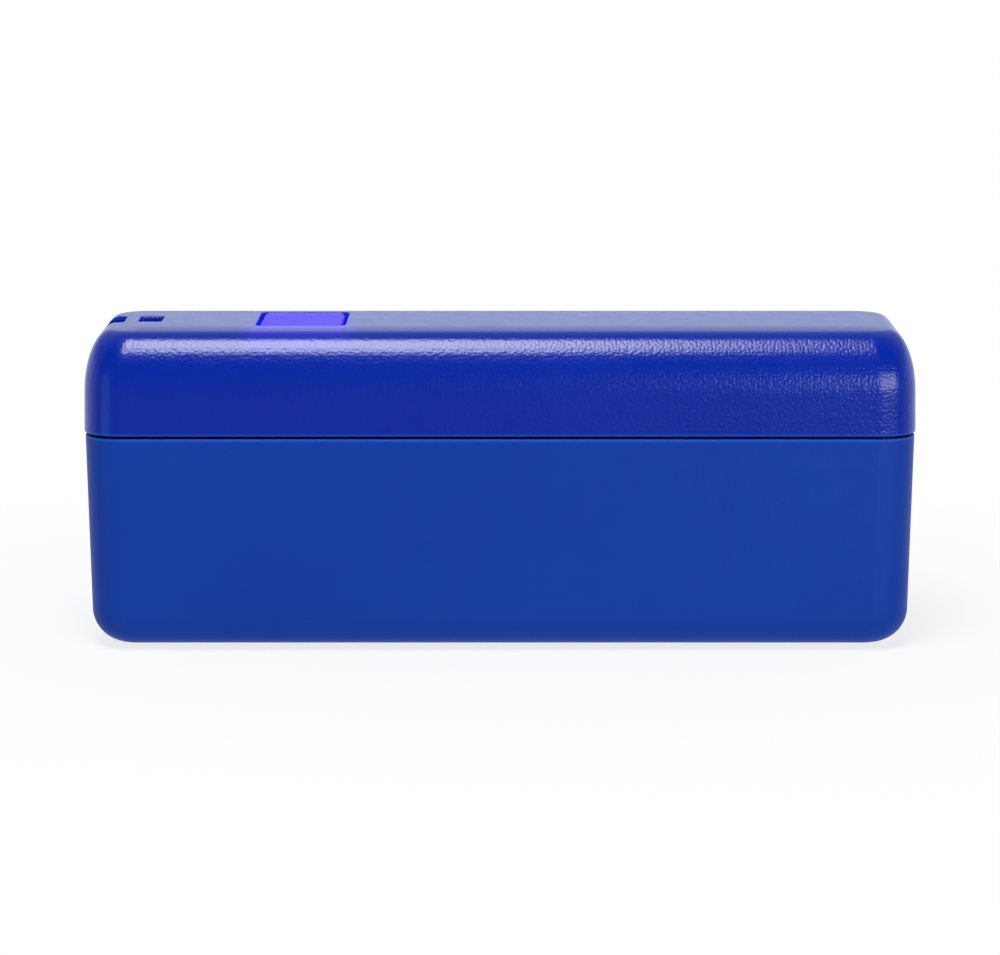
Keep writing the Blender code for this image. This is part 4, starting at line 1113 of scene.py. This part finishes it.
def xlr():
    low, high = span("xlr_shell")
    centre = (XLR_X, SOCKET_Z)
    flange_back = PANEL_FACE + CLEAR
    edge, corner, key, outside = 0.5, 2.5, 1.1, 30
    rings = []
    for inset, y in [(0.0, flange_back)] + [
            (edge * (1 - math.cos(angle)), high.y - edge + edge * math.sin(angle))
            for angle in falling(steps=4)[::-1]]:
        size = (high.x - low.x - 2 * inset, high.z - low.z - 2 * inset)
        rings.append([(u, y, v) for u, v in rounded(size, corner - inset, 8, centre)])
    made = stack("xlr_housing", rings)
    rim_low, rim_high = high.y - 0.3, high.y + 0.9
    inner = XLR_CAVITY_RADIUS
    collar = turned("collar", [(inner - 1, rim_low), (inner + 2.2, rim_low),
                               (inner + 2.0, rim_high - 0.5)]
                    + arc((inner + 1.5, rim_high - 0.45), 0.45, 10, 90)
                    + [(inner - 1, rim_high)], centre, Y, 72)
    cavity = turned("cavity", [
        (0, low.y - 1), (inner, low.y - 1), (inner, rim_high - 0.5),
        (inner + 0.15, rim_high - 0.15), (inner + 0.55, rim_high + 0.1), (inner + 0.55, outside),
        (0, outside)], centre, Y, 72)
    keyway = box("keyway", (XLR_X - key, 6.0, SOCKET_Z + inner - 1),
                 (XLR_X + key, outside, SOCKET_Z + inner + 0.9), Y, 0.3)
    tools = [("+", rod("barrel", centre, low.y, flange_back + 0.5, XLR_BARREL_RADIUS, Y, 64)),
             ("+", collar), ("-", cavity), ("-", keyway)]
    for place in xlr_screw_places():
        tools.append(("-", rod("hole", place, flange_back - 1, high.y + 1, PILOT_RADIUS, Y, 24)))
    worked(made, tools)
    dress(made, "xlr_shell", "nickel")

    pins = [f"xlr_pin_{number}" for number in (1, 2, 3)]
    low, high = span("xlr_insert")
    radius = (high.x - low.x) / 2
    made = turned("xlr_pin_carrier", [(0, low.y), (radius, low.y)]
                  + arc((radius - 0.3, high.y - 0.3), 0.3, 0, 90)
                  + [(radius - 1.2, high.y), (radius - 1.4, high.y - 0.5), (0, high.y - 0.5)],
                  centre, Y, 64)
    worked(made, [("-", rod("pin_hole", seen_along(Y, pin), low.y - 1, high.y + 1,
                            XLR_PIN_RADIUS + 0.1, Y, 24)) for pin in pins])
    dress(made, "xlr_insert", "black_plastic")
    for number, pin in enumerate(pins, 1):
        low, high = span(pin)
        profile = [(0, low.y), (XLR_PIN_RADIUS - 0.1, low.y), (XLR_PIN_RADIUS, low.y + 0.1)]
        profile += arc((XLR_PIN_RADIUS - 0.8, high.y - 1.0), 0.8, 0, 70)
        profile += [(0.25, high.y - 0.06), (0, high.y)]
        made = turned(f"xlr_contact_{number}", profile, seen_along(Y, pin), Y, 32)
        dress(made, pin, "pin_metal")


# ---------------------------------------------------------------- slide switches

def slide_switch(label):
    low, high = span(f"{label}_switch")
    slider_low, slider_high = span(f"{label}_slider")
    made = soften(box(f"{label}_switch_body", low, high, Y, 0.5), 0.15)
    x = middle(f"{label}_switch").x
    channel_x = SWITCH_WINDOW[0] / 2
    channel_z = (slider_high.z - slider_low.z) / 2 + CLEAR
    worked(made, [("-", box("channel", (x - channel_x, slider_low.y - CLEAR, SOCKET_Z - channel_z),
                            (x + channel_x, high.y + 1, SOCKET_Z + channel_z)))])
    dress(made, f"{label}_switch", "grey_plastic")

    made = box(f"{label}_slider_key", slider_low, slider_high, Y, 0.25)
    centre = middle(f"{label}_slider").x
    tools = []
    for groove_x in (-1.1, 0.0, 1.1):
        outline = [(-0.32, 0.05), (0.32, 0.05), (0.12, -0.5), (-0.12, -0.5)]
        rings = [[(centre + groove_x + u, slider_high.y + v, z) for u, v in outline]
                 for z in (SOCKET_Z - 4, SOCKET_Z + 4)]
        tools.append(("-", stack("groove", rings)))
    soften(worked(made, tools), 0.10)
    dress(made, f"{label}_slider", "black_plastic")


# ---------------------------------------------------------------- battery and its door

def battery_door():
    low, high = span("battery_door")
    made = soften(box("battery_hatch", (HINGE_X, -DOOR_HALF_Y, BOTTOM),
                      (high.x, DOOR_HALF_Y, BOTTOM + DOOR_THICKNESS)), 0.2)
    reach = (high.y - low.y) / 2
    hinge = (HINGE_X, HINGE_Z)
    tools = [("+", rod("barrel", hinge, -DOOR_HALF_Y, DOOR_HALF_Y, HINGE_RADIUS, Y, 32)),
             ("+", rod("pins", hinge, -reach, reach, 0.7, Y, 24)),
             ("+", box("latch", (high.x - 1.2, -3.0, BOTTOM + 1), (high.x, 3.0, high.z)))]
    for number in range(5):
        x = high.x - 3.5 - 1.5 * number
        tools.append(("-", rod("grip", (x, BOTTOM - 0.25), -4.5, 4.5, 0.55, Y, 20)))
    worked(made, tools)
    dress(made, "battery_door", "blue_body")


def battery():
    low, high = span("battery")
    can_end = high.x - STUD_HEIGHT
    made = box("battery_cell", (low.x + 0.5, low.y + 0.25, low.z + 0.25),
               (can_end - 0.5, high.y - 0.25, high.z - 0.25), X, 1.5, 6)
    tools = []
    for first, last in ((low.x, low.x + 1.2), (can_end - 1.2, can_end)):
        tools.append(("+", box("crimp", (first, low.y, low.z), (last, high.y, high.z), X, 1.6, 6)))
    z = (low.z + high.z) / 2
    for outline in (circle(2.8, 6, (0, z - STUD_OUT)), circle(2.5, 32, (0, z + STUD_OUT))):
        tools.append(("+", prism("stud", outline, can_end - 1, high.x, X)))
    worked(made, tools)
    dress(made, "battery", "battery_case")


# ---------------------------------------------------------------- what stays as it came

# A finish, the rounding of the edges in millimetres, and the CAD nodes that get both.
KEPT = (
    ("blue_lid", 0, ("strap_pocket",)),
    ("black_plastic", 0, ("battery_lead", "amplifier_chip_1", "amplifier_chip_2")),
    ("black_plastic", 0.1, ("transformer_bobbin",)),
    ("black_plastic", 0.2, ("tact_switch",)),
    ("black_plastic", 0.4, ("battery_snap",)),
    ("white_plastic", 0.15, ("output_header", "battery_header")),
    ("lamp", 0.12, ("button_lamp_1", "button_lamp_2")),
    ("circuit_board", 0.08, ("main_board",)),
    ("laminations", 0, ("transformer_core",)),
    ("copper", 0.4, ("transformer_coil",)),
    ("capacitor_can", 0, ("electrolytic_capacitor_1", "electrolytic_capacitor_2")),
    ("film_red", 0.35, ("film_capacitor_1", "film_capacitor_2")),
    ("foam", 0.5, ("battery_foam",)),
    ("cable_grey", 0, ("input_ribbon", "thru_ribbon", "output_ribbon", "pad_ribbon",
                       "ground_lift_ribbon")),
)


def kept_nodes():
    for look, edge, nodes in KEPT:
        for node in nodes:
            made = frame["nodes"][node]
            made.data.materials.clear()
            made.data.materials.append(finishes[look])
            if edge:
                soften(made, edge, 3)


# ---------------------------------------------------------------- the whole scene

HINGE_X = span("battery_door")[0].x + HINGE_RADIUS
HINGE_Z = BOTTOM + HINGE_RADIUS
SOCKET_Z = round(middle("xlr_shell").z, 2)
XLR_X = round(middle("xlr_shell").x, 2)
SWITCH_FRONT = span("pad_switch")[1].y

bpy.context.scene.view_settings.view_transform = "Standard"
camera()
lights()
world()
stage()
finishes = all_finishes()
lid()
body()
power_button()
plunger()
screws()
feet()
jack("input")
jack("thru")
xlr()
slide_switch("pad")
slide_switch("ground_lift")
battery_door()
battery()
kept_nodes()

bpy.context.view_layer.update()
